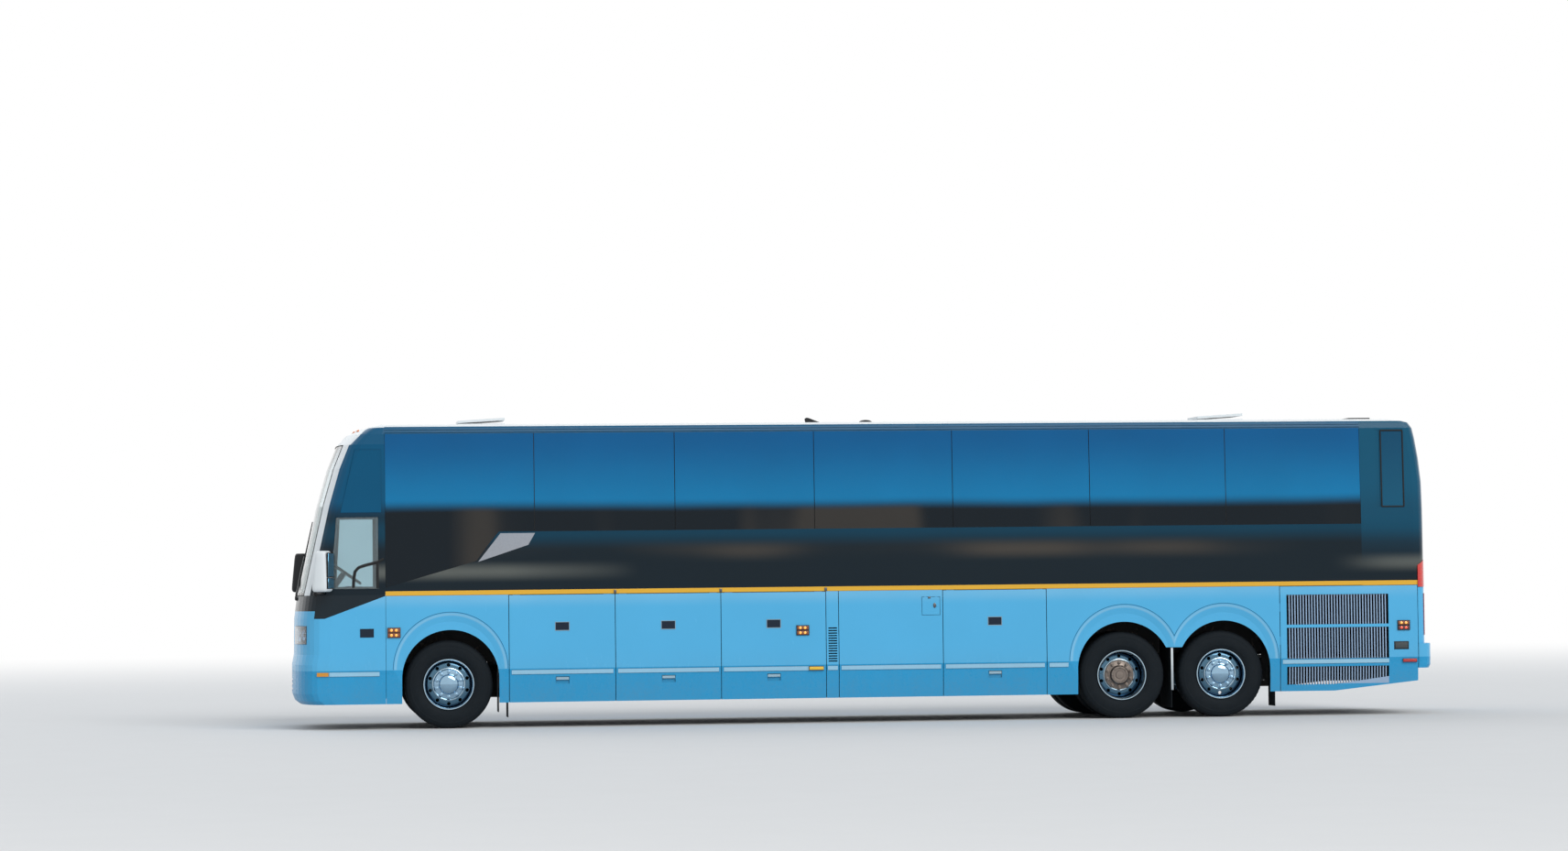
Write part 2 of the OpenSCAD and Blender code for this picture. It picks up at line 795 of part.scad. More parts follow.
module front_bumper() {
    color(body_blue)
        difference() {
            union() {
                skin(levels(skirt_z, bumper_top, nose_table), round_angles);
                for (y = [-tow_y, tow_y])
                    translate([x_front - tow_depth, y, tow_z])
                        rotate([0, 90, 0]) cylinder(h = tow_depth - shell_t + 12, r = tow_boss);
            }
            for (z = [450, 505, 560])
                block([x_front - 300, -500, z], [x_front + 10, 500, z + 32]);
            for (y = [-tow_y, tow_y])
                translate([x_front - tow_depth - 1, y, tow_z]) rotate([0, 90, 0]) cylinder(h = 300, r = tow_r);
        }
}

// Rear end

rear_glass_z = 2500;
rear_glass_drop = 200;
rear_glass_top = header_z - rear_glass_drop;
corner_a = seam_angle(rear_corner - panel_gap / 2 - tail_set, tail_depth);
engine_door_half = 1036;
side_pane_z = 2500;
side_pane_back = 407;
side_pane_front = 684;
side_slot_front = 740;
vent_back = 543;
vent_length = 272;
vent_half = 300;
vent_rise = 30;
module tail_side_cut(x0, x1, z0, z1, in) {
    side_band(x_rear + x0, x_rear + x1, [z0, z1], in, 20);
}
module rear_cap() {
    color(band_black) {
        difference() {
            end_shell(stripe_z, roof_height, tail_table, true);
            mirror([1, 0, 0]) {
                block([x_front - 400, -engine_door_half - panel_gap, 0],
                    [x_front + 10, engine_door_half + panel_gap, engine_door_top + panel_gap]);
            }
            skin(levels(rear_glass_z, rear_glass_top, tail_table), screen_angles, -5, glass_t + seat_fit, true);
            mirror([1, 0, 0])
                block([x_front - 400, -900, rear_glass_z + 50], [x_front + 10, 900, rear_glass_top - 50]);
            for (s = [-1, 1])
                on_side(s) {
                    tail_side_cut(side_pane_back - 3, side_pane_front + 3, side_pane_z - 3, header_z - 20, glass_t + seat_fit);
                    tail_side_cut(side_pane_back + 25, side_pane_front - 25, side_pane_z + 25, header_z - 48, 90);
                    tail_side_cut(side_pane_front + 10, side_slot_front, side_pane_z - 3, header_z - 20, 8);
                }
        }
        for (s = [-1, 1])
            on_side(s)
                difference() {
                    skin(levels(rear_bumper_top, stripe_z, tail_table), concat(angles(30, 80), [corner_a]), 0, shell_t, true);
                    mirror([1, 0, 0])
                        block([x_front - 400, -10, 0], [x_front + 10, engine_door_half + panel_gap, stripe_z + 10]);
                }
        block([x_rear + vent_back, -vent_half, roof_height - shell_t + 5],
            [x_rear + vent_back + vent_length, vent_half, roof_height + vent_rise]);
    }
}
module rear_window() {
    color(glass_blue, 0.6) {
        skin(levels(rear_glass_z + 2, rear_glass_top - 2, tail_table), glass_angles, 0, glass_t, true);
        for (s = [-1, 1])
            on_side(s)
                side_band(x_rear + side_pane_back, x_rear + side_pane_front, [side_pane_z, header_z - 23], glass_t);
    }
}
door_slots = 7;
module engine_door() {
    color(body_blue) {
        difference() {
            intersection() {
                skin(levels(rear_bumper_top, engine_door_top + 50, tail_table), angles(-58, 58), 0, panel_t, true);
                mirror([1, 0, 0])
                    block([x_front - 400, -engine_door_half, rear_bumper_top + 12],
                        [x_front + 10, engine_door_half, engine_door_top]);
            }
            for (i = [0 : door_slots - 1])
                mirror([1, 0, 0])
                    block([x_front - 300, -700, 1100 + i * 60], [x_front + 10, 700, 1130 + i * 60]);
        }
        for (y = [-420, 420])
            block([x_rear + tail_set + 12, y - 60, engine_door_top - 1],
                [x_rear + tail_set + 34, y + 60, engine_door_top + panel_gap - seat_fit]);
    }
}
tow_rear_y = 500;
tow_rear_z = 710;
plate_x = 178;
plate_z_step = 121;
plate_hole = 3.5;
module rear_bumper() {
    color(body_blue) {
        difference() {
            union() {
                skin(levels(rear_bumper_z, rear_bumper_top - 0.5, tail_table), angles(-90, 90), 0, shell_t + 40, true);
                translate([x_rear + shell_t, tow_rear_y, tow_rear_z])
                    rotate([0, 90, 0]) cylinder(h = tow_depth - shell_t - 20, r = tow_boss);
            }
            translate([x_rear - 50, tow_rear_y, tow_rear_z]) rotate([0, 90, 0]) cylinder(h = 300, r = tow_r);
            for (y = [-plate_x / 2, plate_x / 2])
                for (z = [tow_rear_z - plate_z_step / 2, tow_rear_z + plate_z_step / 2])
                    translate([x_rear - 10, y, z]) rotate([0, 90, 0]) cylinder(h = 50, r = plate_hole);
        }
        for (s = [-1, 1])
            on_side(s)
                side_band(x_rear + tail_depth - 1, x_corner - panel_gap / 2,
                    levels(rear_bumper_z, rear_bumper_top - 0.5, tail_table), shell_t + 40);
    }
}
lamp_seat = 0.6;
module tail_lamps() {
    color(lamp_red)
        for (s = [-1, 1])
            on_side(s) {
                intersection() {
                    skin(levels(1520, 1870, tail_table), concat(angles(65, 80), [corner_a]), -10, -lamp_seat, true);
                    mirror([1, 0, 0])
                        across(0, half_w + 20)
                            polygon([[x_front - 300, 1530], [x_front, 1530], [x_front, 1860], [x_front - 150, 1860],
                                [x_front - 300, 1760]]);
                }
                skin([950, 1450], [50, 58, 65], -10, 0, true);
            }
}

// Lamps and mirrors

module side_lamps() {
    color(lamp_amber)
        for (s = [-1, 1])
            on_side(s) {
                skin([trim_z - marker_h / 2, trim_z + marker_h / 2], [80, 90], -lamp_out, 0);
                block([x_steer + arch_double_x - double_l / 2, half_w, arch_double_z - double_h / 2],
                    [x_steer + arch_double_x + double_l / 2, half_w + lamp_out, arch_double_z + double_h / 2]);
            }
}

mirror_x = x_front - 350;
mirror_lead = 230;
mirror_in = half_w + 20;
mirror_z = screen_z + 40;
mirror_height = 480;
mirror_w = 225;
mirror_half = mirror_in + mirror_w;
mirror_back = 120;
mirror_front = 110;
module mirror_set(side, lead) {
    x = mirror_x + lead;
    on_side(side) {
        hull() {
            block([x - mirror_back, mirror_in, mirror_z], [x + mirror_front, mirror_half, mirror_z + 30]);
            block([x - mirror_back * 0.75, mirror_in + 20, mirror_z + mirror_height - 20],
                [x + mirror_front * 0.36, mirror_half - 30, mirror_z + mirror_height]);
        }
        skin([screen_z + 2, mirror_z], [65, 72, 80], half_w - mirror_half + 40, -seat_fit);
    }
}
module mirrors() {
    color(white_paint) {
        mirror_set(1, 0);
        mirror_set(-1, mirror_lead);
    }
}

// Underframe, floors and the wheel housings

bay_floor_t = 40;
housing_half = 505;
housing_top = 1200;
housing_tuck = 30;
sheet_t = 10;
bay_half = half_w - 90;
floor_half = half_w - panel_t - 6;
under_floor = floor_z - floor_t;
under_platform = platform_z - floor_t;
x_arch_wall = x_arch_end + 40;
module housing(x0, x1) {
    y1 = half_w - panel_t - seat_fit;
    difference() {
        block([x0, housing_half, 420], [x1, y1, housing_top + sheet_t]);
        block([x0 + sheet_t, housing_half + sheet_t, 400], [x1 - sheet_t, half_w, housing_top]);
        block([x0 + sheet_t, 0, 400], [x1 - sheet_t, half_w, rail_z + 10]);
        block([x0 - tiny, y1 - housing_tuck, 0], [x1 + tiny, half_w, crease_z + tiny]);
    }
}
module wheel_housings() {
    color(trim_dark)
        for (s = [-1, 1])
            on_side(s) {
                housing(x_bay, x_post - 60);
                housing(x_arch_wall, x_bay_end);
            }
}
module underframe() {
    color(steel_grey) {
        block([x_bay_end, -bay_half, skirt_z + 5], [x_bay, bay_half, skirt_z + 5 + bay_floor_t]);
        for (x = [x_bay_end, x_louvre - louvre_w + 50, x_bay - 40])
            block([x, -bay_half, skirt_z + 5], [x + 40, bay_half, under_floor]);
        for (s = [-1, 1])
            on_side(s) {
                block([x_bay - 10, rail_half - rail_w / 2, rail_z], [x_front - 80, rail_half + rail_w / 2, rail_z + rail_h]);
                block([x_rear + 200, rail_half - rail_w / 2, rail_z], [x_bay_end + 10, rail_half + rail_w / 2, rail_z + rail_h]);
                block([x_bay, rail_half, rail_z + 20], [x_post - 60, housing_half, rail_z + rail_h - 20]);
                block([x_arch_wall, rail_half, rail_z + 20], [x_bay_end, housing_half, rail_z + rail_h - 20]);
            }
        for (x = [x_front - 480, x_steer + 560, x_drive + 700, x_arch_end - 100, x_rear + 200])
            block([x, -rail_half, rail_z], [x + 80, rail_half, rail_z + rail_h - 20]);
        for (x = [x_post - 60, x_front - 480])
            block([x, -rail_half, rail_z + 100], [x + 60, half_w - 120, under_platform]);
        for (x = [x_arch_wall - 40, x_corner + 40])
            block([x, -bay_half + 30, rail_z + rail_h - 30], [x + 40, bay_half - 30, under_floor]);
        block([x_rear + 150, -bay_half + 100, rear_bumper_z + 60], [x_rear + 210, bay_half - 100, rear_bumper_top - 10]);
        for (s = [-1, 1])
            on_side(s)
                block([x_rear + 200, rail_half - rail_w / 2, rear_bumper_z + 60],
                    [x_rear + 260, rail_half + rail_w / 2, rail_z + 10]);
    }
}

stair_in = 500;
stair_out = 1165;
step_z = 400;
step_count = 3;
// Outline of a floor that fits inside an end
module end_floor(z, tail) {
    at_end(tail)
        translate([0, 0, z - floor_t])
            linear_extrude(floor_t)
                polygon([for (a = full_angles) let (p = end_point(z, a, shell_t + seat_fit, tail)) [p[0], p[1]]]);
}
module cabin_floor() {
    tread = (stair_out - stair_in) / step_count;
    rise = (platform_z - step_z) / step_count;
    color(trim_dark) {
        block([x_window_end - tiny, -floor_half, under_floor], [x_post - 30, floor_half, floor_z]);
        block([x_post - 60, -floor_half, under_platform], [x_post - 30, floor_half, floor_z]);
        end_floor(floor_z, true);
        difference() {
            end_floor(platform_z, false);
            block([x_post - 100, -half_w, 0], [x_door_front - 20, -stair_in, platform_z + 1]);
        }
        block([x_post - 40, -floor_half, under_platform], [x_post + tiny, half_w - shell_t - seat_fit, platform_z]);
        for (i = [0 : step_count - 1])
            block([x_door_back + 20, -stair_out + i * tread, step_z + i * rise - 40],
                [x_door_front - 40, -stair_out + (i + 1) * tread + 1, step_z + i * rise]);
        for (i = [1 : step_count])
            block([x_door_back + 20, -stair_out + i * tread - 20, step_z + (i - 1) * rise - 40],
                [x_door_front - 40, -stair_out + i * tread + 1, step_z + i * rise]);
        block([x_door_back - 10, -stair_out, step_z - 40], [x_door_back + 21, -stair_in, platform_z]);
        block([x_door_front - 41, -stair_out, step_z - 40], [x_door_front - 10, -stair_in, platform_z]);
    }
}

// Driver's place

module dashboard() {
    wheel_x = x_front - 620;
    wheel_z = platform_z + 690;
    color(trim_dark) {
        block([x_door_front - 20, -half_w + 160, platform_z], [x_front - 320, -stair_in + 10, platform_z + 460]);
        across(-stair_in, half_w - 130)
            polygon([
                [x_front - 420, platform_z],
                [x_front - 560, platform_z + 20],
                [x_front - 560, platform_z + 460],
                [x_front - 480, platform_z + 560],
                [x_front - 300, platform_z + 520],
                [x_front - 300, platform_z]]);
        translate([wheel_x, 640, wheel_z])
            rotate([0, -35, 0]) {
                rotate_extrude() translate([225, 0]) circle(r = 16);
                cylinder(h = 24, r = 55, center = true);
                for (a = [90, 210, 330]) rotate([0, 0, a]) block([0, -16, -8], [225, 16, 8]);
                translate([0, 0, -330]) cylinder(h = 330, r = 34);
            }
    }
}
module seat_profile(depth, base, cushion, back, lean) {
    polygon([
        [0, base],
        [0, cushion - 110],
        [60, cushion - 110],
        [60, cushion],
        [-depth + 130, cushion - 20],
        [-depth - lean, back],
        [-depth - lean - 90, back],
        [-depth - 20, cushion - 110],
        [-depth + 60, cushion - 110],
        [-depth + 60, base]]);
}
module driver_seat() {
    color(seat_blue)
        translate([x_post + 430, 0, 0])
            across(400, 880)
                seat_profile(420, platform_z, platform_z + 500, platform_z + 1250, 150);
}
module seat_bank(side) {
    color(seat_blue)
        on_side(side)
            for (i = [0 : seat_rows - 1])
                translate([x_post - 660 - i * seat_pitch, 0, 0])
                    across(half_w - 110 - seat_width, half_w - 110)
                        seat_profile(380, floor_z, floor_z + cushion_height, floor_z + back_height, 110);
}
module seats_left() { seat_bank(1); }
module seats_right() { seat_bank(-1); }

rack_drop = 430;
rack_z = header_z - rack_drop;
rack_in = 770;
rack_lip = 20;
rack_bulge = 50;
rack_height = 250;
rack_back = 600;
rack_ahead = 400;
module parcel_racks() {
    color(trim_dark)
        for (s = [-1, 1])
            on_side(s)
                translate([x_rear + rack_back, 0, 0])
                    rotate([90, 0, 90])
                        linear_extrude(x_post - x_rear - rack_back - rack_ahead)
                            polygon([
                                [half_at(rack_z) - wall_t, rack_z],
                                [half_at(rack_z + 50) - wall_t, rack_z + 50],
                                [rack_in + rack_bulge, rack_z + 90],
                                [rack_in + rack_lip, rack_z + rack_height],
                                [rack_in, rack_z + rack_height],
                                [rack_in + rack_lip, rack_z + 30]]);
}

// Engine, axles and suspension

engine_half = 320;
engine_back = 420;
engine_ahead = 320;
engine_height = 790;
engine_drop = 200;
engine_feet = 100;
module engine() {
    x0 = x_rear + engine_back;
    x1 = x_arch_end - engine_ahead;
    z0 = rail_z - engine_drop;
    color(steel_grey) {
        block([x0, -engine_half, z0], [x1, engine_half, z0 + engine_height]);
        for (x = [x0 + engine_feet, x1 - 2 * engine_feet])
            block([x, -rail_half + rail_w / 2, rail_z + 30], [x + 60, rail_half - rail_w / 2, rail_z + 90]);
    }
}

beam_z = tyre_radius;
eye_h = 120;
module kingpin_bore() {
    cylinder(h = 400, r = kingpin_radius + 0.1, center = true);
}
module front_axle() {
    color(steel_grey)
        difference() {
            union() {
                block([x_steer - 50, -kingpin_half + 40, beam_z - eye_h / 2],
                    [x_steer + 50, kingpin_half - 40, beam_z + 45]);
                for (s = [-1, 1])
                    translate([x_steer, s * kingpin_half, beam_z - eye_h / 2]) cylinder(h = eye_h, r = 58);
            }
            for (s = [-1, 1])
                translate([x_steer, s * kingpin_half, beam_z]) kingpin_bore();
        }
}
spindle_r = 45;
spindle_fit = 0.3;
disc_single = 80;
disc_twin = -20;
// Spindle from y out to inside the hub of a wheel
module spindle(x, y, disc) {
    end = track_half + disc + 10;
    translate([x, end, beam_z]) rotate([90, 0, 0]) cylinder(h = end - y, r = spindle_r);
}
module knuckle(side) {
    y = kingpin_half;
    color(steel_grey)
        on_side(side) {
            translate([x_steer, y, beam_z]) cylinder(h = eye_h + 90, r = kingpin_radius, center = true);
            for (z = [beam_z - eye_h / 2 - 5 - 40, beam_z + eye_h / 2 + 5])
                hull() {
                    translate([x_steer, y, z]) cylinder(h = 40, r = 54, $fn = 32);
                    block([x_steer - 60, y + 72, z], [x_steer + 60, y + 100, z + 40]);
                }
            block([x_steer - 60, y + 72, beam_z - eye_h / 2 - 45], [x_steer + 60, y + 100, beam_z + eye_h / 2 + 45]);
            spindle(x_steer, y + 80, disc_single);
        }
}

axle_r = 75;
module rear_axle(x, with_final_drive) {
    color(steel_grey) {
        for (s = [-1, 1])
            on_side(s) spindle(x, 470, with_final_drive ? disc_twin : disc_single);
        translate([x, 480, beam_z]) rotate([90, 0, 0]) cylinder(h = 960, r = axle_r);
        for (s = [-1, 1])
            on_side(s)
                block([x - 70, rail_half - 40, beam_z], [x + 70, rail_half + 40, beam_z + axle_r]);
        if (with_final_drive)
            translate([x, 0, beam_z]) sphere(r = 190);
    }
}
module drive_axle() { rear_axle(x_drive, true); }
module tag_axle() { rear_axle(x_tag, false); }

arm_h = 50;
spring_r = 90;
// Columns: place of the axle, height of the seat on it
axle_seats = [[x_steer, beam_z + 45], [x_drive, beam_z + axle_r], [x_tag, beam_z + axle_r]];
module suspension() {
    color(trim_dark)
        for (s = [-1, 1])
            on_side(s)
                for (r = axle_seats) {
                    block([r[0] - 420, rail_half - 40, r[1]], [r[0] + 420, rail_half + 40, r[1] + arm_h]);
                    for (d = [-320, 320])
                        translate([r[0] + d, rail_half, r[1] + arm_h - 1])
                            cylinder(h = rail_z - r[1] - arm_h + 1, r = spring_r);
                }
}

flap_t = 8;
flap_in = 890;
flap_mid_in = 560;
flap_out = 1200;
flap_low = 120;
flap_high = 600;
module mudflaps() {
    color(band_black)
        for (s = [-1, 1])
            on_side(s) {
                block([x_bay + sheet_t, flap_in, flap_low], [x_bay + sheet_t + flap_t, flap_out, flap_high]);
                block([(x_drive + x_tag - flap_t) / 2, flap_mid_in, flap_low],
                    [(x_drive + x_tag + flap_t) / 2, flap_out, housing_top]);
                block([x_arch_wall + sheet_t, flap_in, flap_low], [x_arch_wall + sheet_t + flap_t, flap_out, flap_high]);
            }
}

// Wheels, drawn about the Y axis with the outside at +Y

tyre_shoulder = 30;
module tyre() {
    hw = tyre_width / 2;
    rotate([-90, 0, 0])
        rotate_extrude($fn = 64)
            polygon([
                [rim_radius, -hw + 40],
                [rim_radius + 20, -hw + 16],
                [tyre_radius * 0.78, -hw],
                [tyre_radius - tyre_shoulder, -hw + 14],
                [tyre_radius, -hw + 44],
                [tyre_radius, hw - 44],
                [tyre_radius - tyre_shoulder, hw - 14],
                [tyre_radius * 0.78, hw],
                [rim_radius + 20, hw - 16],
                [rim_radius, hw - 40]]);
}
// Rim barrel and disc: disc is the place of the disc's outer face from the tyre's centre plane
module rim(disc) {
    hw = tyre_width / 2 - 14;
    difference() {
        rotate([-90, 0, 0])
            rotate_extrude($fn = 64)
                polygon([
                    [spindle_r + spindle_fit, disc - 70],
                    [130, disc - 70],
                    [130, disc - 26],
                    [rim_radius - 60, disc - 30],
                    [rim_radius - 24, disc - 60],
                    [rim_radius - 24, -hw],
                    [rim_radius - 2, -hw - 2],
                    [rim_radius - seat_fit, -hw + 20],
                    [rim_radius - seat_fit, hw - 20],
                    [rim_radius + 8, hw],
                    [rim_radius - 6, hw + 4],
                    [rim_radius - 18, hw - 20],
                    [rim_radius - 24, disc - 24],
                    [rim_radius - 60, disc - 4],
                    [150, disc],
                    [110, disc],
                    [110, disc + 30],
                    [70, disc + 50],
                    [0, disc + 56],
                    [0, disc + 30],
                    [spindle_r + spindle_fit, disc + 30]]);
        for (i = [0 : hand_holes - 1])
            rotate([0, i * 360 / hand_holes, 0])
                translate([0, disc + 20, rim_radius - 82])
                    rotate([90, 0, 0]) cylinder(h = 70, r = 26, $fn = 24);
    }
}
module wheel_single(x, side) {
    color(alloy)
        on_side(side)
            translate([x, track_half, tyre_radius]) {
                rim(disc_single);
                color(band_black) tyre();
            }
}
module wheel_twin(side) {
    color(alloy)
        on_side(side)
            translate([x_drive, track_half, tyre_radius]) {
                rim(disc_twin);
                color(band_black) tyre();
                translate([0, -twin_spacing, 0]) {
                    color(band_black) tyre();
                    rotate([-90, 0, 0])
                        rotate_extrude($fn = 64)
                            polygon([
                                [axle_r + 5, tyre_width / 2 - 60],
                                [rim_radius - 24, tyre_width / 2 - 60],
                                [rim_radius - 24, -tyre_width / 2 + 14],
                                [rim_radius - seat_fit, -tyre_width / 2 + 16],
                                [rim_radius - seat_fit, tyre_width / 2 - 20],
                                [rim_radius - 12, twin_spacing - tyre_width / 2 + 13 - seat_fit],
                                [rim_radius - 22, twin_spacing - tyre_width / 2 + 13 - seat_fit],
                                [rim_radius - 40, tyre_width / 2 - 30],
                                [axle_r + 5, tyre_width / 2 - 30]]);
                }
            }
}

underframe();
wheel_housings();
cabin_floor();
roof_shell();
front_cap();
rear_cap();
side_wall(1);  // side_left
side_wall(-1);  // side_right
side_glass(1);  // side_glass_left
side_glass(-1);  // side_glass_right
windscreen();
cab_side_left();
cab_side_right();
driver_glass();
lower_left();
lower_right();
front_mask();
front_bumper();
rear_bumper();
rear_window();
headlamps();
side_lamps();
tail_lamps();
mirrors();
dashboard();
driver_seat();
seats_left();
seats_right();
parcel_racks();
engine();
front_axle();
drive_axle();
tag_axle();
suspension();
mudflaps();
knuckle(1);  // knuckle_left
knuckle(-1);  // knuckle_right
wheel_single(x_steer, 1);  // wheel_front_left
wheel_single(x_steer, -1);  // wheel_front_right
wheel_twin(1);  // wheel_drive_left
wheel_twin(-1);  // wheel_drive_right
wheel_single(x_tag, 1);  // wheel_tag_left
wheel_single(x_tag, -1);  // wheel_tag_right
luggage_door(1, 1);  // luggage_door_left_1
luggage_door(1, 2);  // luggage_door_left_2
luggage_door(1, 3);  // luggage_door_left_3
luggage_door(-1, 1);  // luggage_door_right_1
luggage_door(-1, 2);  // luggage_door_right_2
luggage_door(-1, 3);  // luggage_door_right_3
service_door(1);  // service_door_left
service_door(-1);  // service_door_right
grille_door(1);  // grille_door_left
grille_door(-1);  // grille_door_right
engine_door();
entry_door();
fuel_flap();
hatch_front();
hatch_rear();
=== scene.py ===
import math

import bmesh
import bpy
from mathutils import Matrix, Vector


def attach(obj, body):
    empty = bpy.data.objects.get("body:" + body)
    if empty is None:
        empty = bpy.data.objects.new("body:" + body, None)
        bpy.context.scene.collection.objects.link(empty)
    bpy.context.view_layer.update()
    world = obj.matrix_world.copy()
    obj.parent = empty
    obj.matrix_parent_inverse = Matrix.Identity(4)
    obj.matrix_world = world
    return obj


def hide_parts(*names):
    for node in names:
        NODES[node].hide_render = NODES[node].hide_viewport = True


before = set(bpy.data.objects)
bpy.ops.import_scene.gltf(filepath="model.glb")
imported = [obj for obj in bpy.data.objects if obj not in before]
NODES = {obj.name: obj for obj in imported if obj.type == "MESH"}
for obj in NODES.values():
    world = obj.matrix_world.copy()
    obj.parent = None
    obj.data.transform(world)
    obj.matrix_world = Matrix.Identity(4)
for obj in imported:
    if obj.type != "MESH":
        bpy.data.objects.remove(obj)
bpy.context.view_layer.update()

# Places and sizes of the coach, in metres, as in the part's source
HALF = 1.295
X_FRONT, X_REAR = 6.86, -6.86
X_STEER, X_DRIVE, X_TAG = 5.04, -2.98, -4.19
X_POST, X_BAY, X_BAY_END = 5.774, 4.337, -2.057
X_ARCH_END, X_CORNER = -4.90, -6.60
X_WINDOW, PANE_PITCH, PANES = 4.027, 1.658, 6
X_WINDOW_END = -5.92
DOOR_PITCH = 1.2486
CREASE, STRIPE, STRIPE_TOP = 0.690, 1.555, 1.610
SILL, HEADER, EAVE, CROWN = 2.295, 3.450, 3.517, 3.580
SCREEN_Z, SCREEN_TOP, SCREEN_EDGE = 1.570, 3.330, 42
REAR_GLASS_Z, REAR_GLASS_TOP = 2.500, 3.250
PLATFORM, FLOOR = 1.150, 1.555
TRACK, TWIN, TYRE_R, TYRE_W = 1.050, 0.350, 0.515, 0.312
DISC = {"single": 0.080, "twin": -0.020}
SEAT_ROWS, SEAT_PITCH = 13, 0.830
SEAT_LEAN = math.radians(12)
SIDES = ((1, "left"), (-1, "right"))
ARCH_CENTERS = tuple(x - 0.020 for x in (X_STEER, X_DRIVE, X_TAG))
BLACK_Z = 1.385
X_LAMPS = X_BAY - 3 * DOOR_PITCH
LAMP_GAP = 0.014
TRIM_STRIP, STRIP_EDGE = (0.6195, 0.6765), 0.005
MARKER_Z = 0.648
PLATE_Z, PLATE_RIM = (1.1265, 1.2335), 0.008
HANDLE_Z = (0.553, 0.585)
HEADLAMP_Z, BULB_Z = (1.0025, 1.2125), 1.107
WHITE_EDGE_Z = 3.532
DRIVER_PANEL_Z = 2.500
GRILLE_X = (X_CORNER + 0.3645, X_ARCH_END - 0.0835)
GRILLE_Z = ((1.0915, 1.4495), (0.6825, 1.0545), (0.380, 0.5875))

# How far the side tucks in, and the ends set back, by height
TUCK = [(0.295, 0.030), (0.640, 0.007), (0.690, 0.0), (1.610, 0.0), (2.295, 0.006), (3.450, 0.045),
    (3.517, 0.062)]
NOSE = [(0.295, 0.092), (0.34, 0.030), (0.42, 0.0), (0.76, 0.0), (0.88, 0.023), (1.3, 0.028),
    (1.57, 0.065), (2.1, 0.182), (2.61, 0.295), (3.05, 0.420), (3.33, 0.533), (3.45, 0.640),
    (3.517, 0.790), (3.538, 0.880), (3.557, 0.960), (3.572, 1.010), (3.58, 1.040)]
TAIL = [(0.555, 0.020), (0.595, 0.0), (0.8495, 0.0), (0.85, 0.070), (2.49, 0.070), (2.8, 0.076),
    (3.09, 0.106), (3.33, 0.146), (3.45, 0.174), (3.517, 0.220), (3.538, 0.290), (3.557, 0.400),
    (3.572, 0.560), (3.58, 0.710)]


def look_up(z, table):
    if z <= table[0][0]:
        return table[0][1]
    for (z0, v0), (z1, v1) in zip(table, table[1:]):
        if z <= z1:
            return v0 + (v1 - v0) * (z - z0) / (z1 - z0)
    return table[-1][1]


def half_at(z):
    """Half width of the body at a height."""
    if z <= EAVE:
        return HALF - look_up(z, TUCK)
    t = min(1.0, (z - EAVE) / (CROWN - EAVE))
    return (HALF - 0.062) * (1 - (0.985 * t) ** 3) ** (1 / 3)


def end_point(z, angle, inset=0.0, tail=False):
    """A point on the front end, or on the rear end, at a height and a direction in degrees."""
    w = half_at(z) - inset
    xe = X_FRONT - look_up(z, TAIL if tail else NOSE)
    post = -X_WINDOW_END if tail else X_POST
    depth = min(0.22 if tail else 0.42, xe - post - 0.01)
    a = math.radians(angle)
    x = xe - depth + max(0.005, depth - inset) * abs(math.cos(a)) ** (2 / 3)
    y = w * math.copysign(abs(math.sin(a)) ** (2 / 3), a)
    return Vector((-x if tail else x, y, z))


def find(low, high, is_low):
    """The place between two values where a test turns from true to false."""
    for _ in range(30):
        mid = (low + high) / 2
        if is_low(mid):
            low = mid
        else:
            high = mid
    return low


def side_depth(x, z):
    """How far the front end's side stands from the middle at a place along the coach."""
    return end_point(z, find(30.0, 90.0, lambda angle: end_point(z, angle).x > x)).y


def roof_height(y):
    """Height of the roof at a distance from the middle."""
    return find(EAVE, CROWN, lambda z: half_at(z) > abs(y))


# Camera, floor and light

FOCAL_PIXELS, WIDTH_PIXELS, SENSOR = 4400.0, 1712.0, 36.0
CAMERA_AT = (6.9222, 48.576, 1.6)
YAW, PITCH, ROLL = (math.radians(v) for v in (7.0601, 2.3066, -0.634))


def make_camera():
    ahead = Vector((-math.sin(YAW) * math.cos(PITCH), -math.cos(YAW) * math.cos(PITCH), math.sin(PITCH)))
    level = ahead.cross(Vector((0, 0, 1))).normalized()
    above = level.cross(ahead)
    right = math.cos(ROLL) * level + math.sin(ROLL) * above
    up = -math.sin(ROLL) * level + math.cos(ROLL) * above
    cam = bpy.data.cameras.new("photo_camera")
    cam.sensor_fit = "HORIZONTAL"
    cam.sensor_width = SENSOR
    cam.lens = FOCAL_PIXELS / WIDTH_PIXELS * SENSOR
    cam.clip_end = 600.0
    obj = bpy.data.objects.new("photo_camera", cam)
    obj.matrix_world = Matrix.Translation(CAMERA_AT) @ Matrix((right, up, -ahead)).transposed().to_4x4()
    bpy.context.scene.collection.objects.link(obj)
    bpy.context.scene.camera = obj


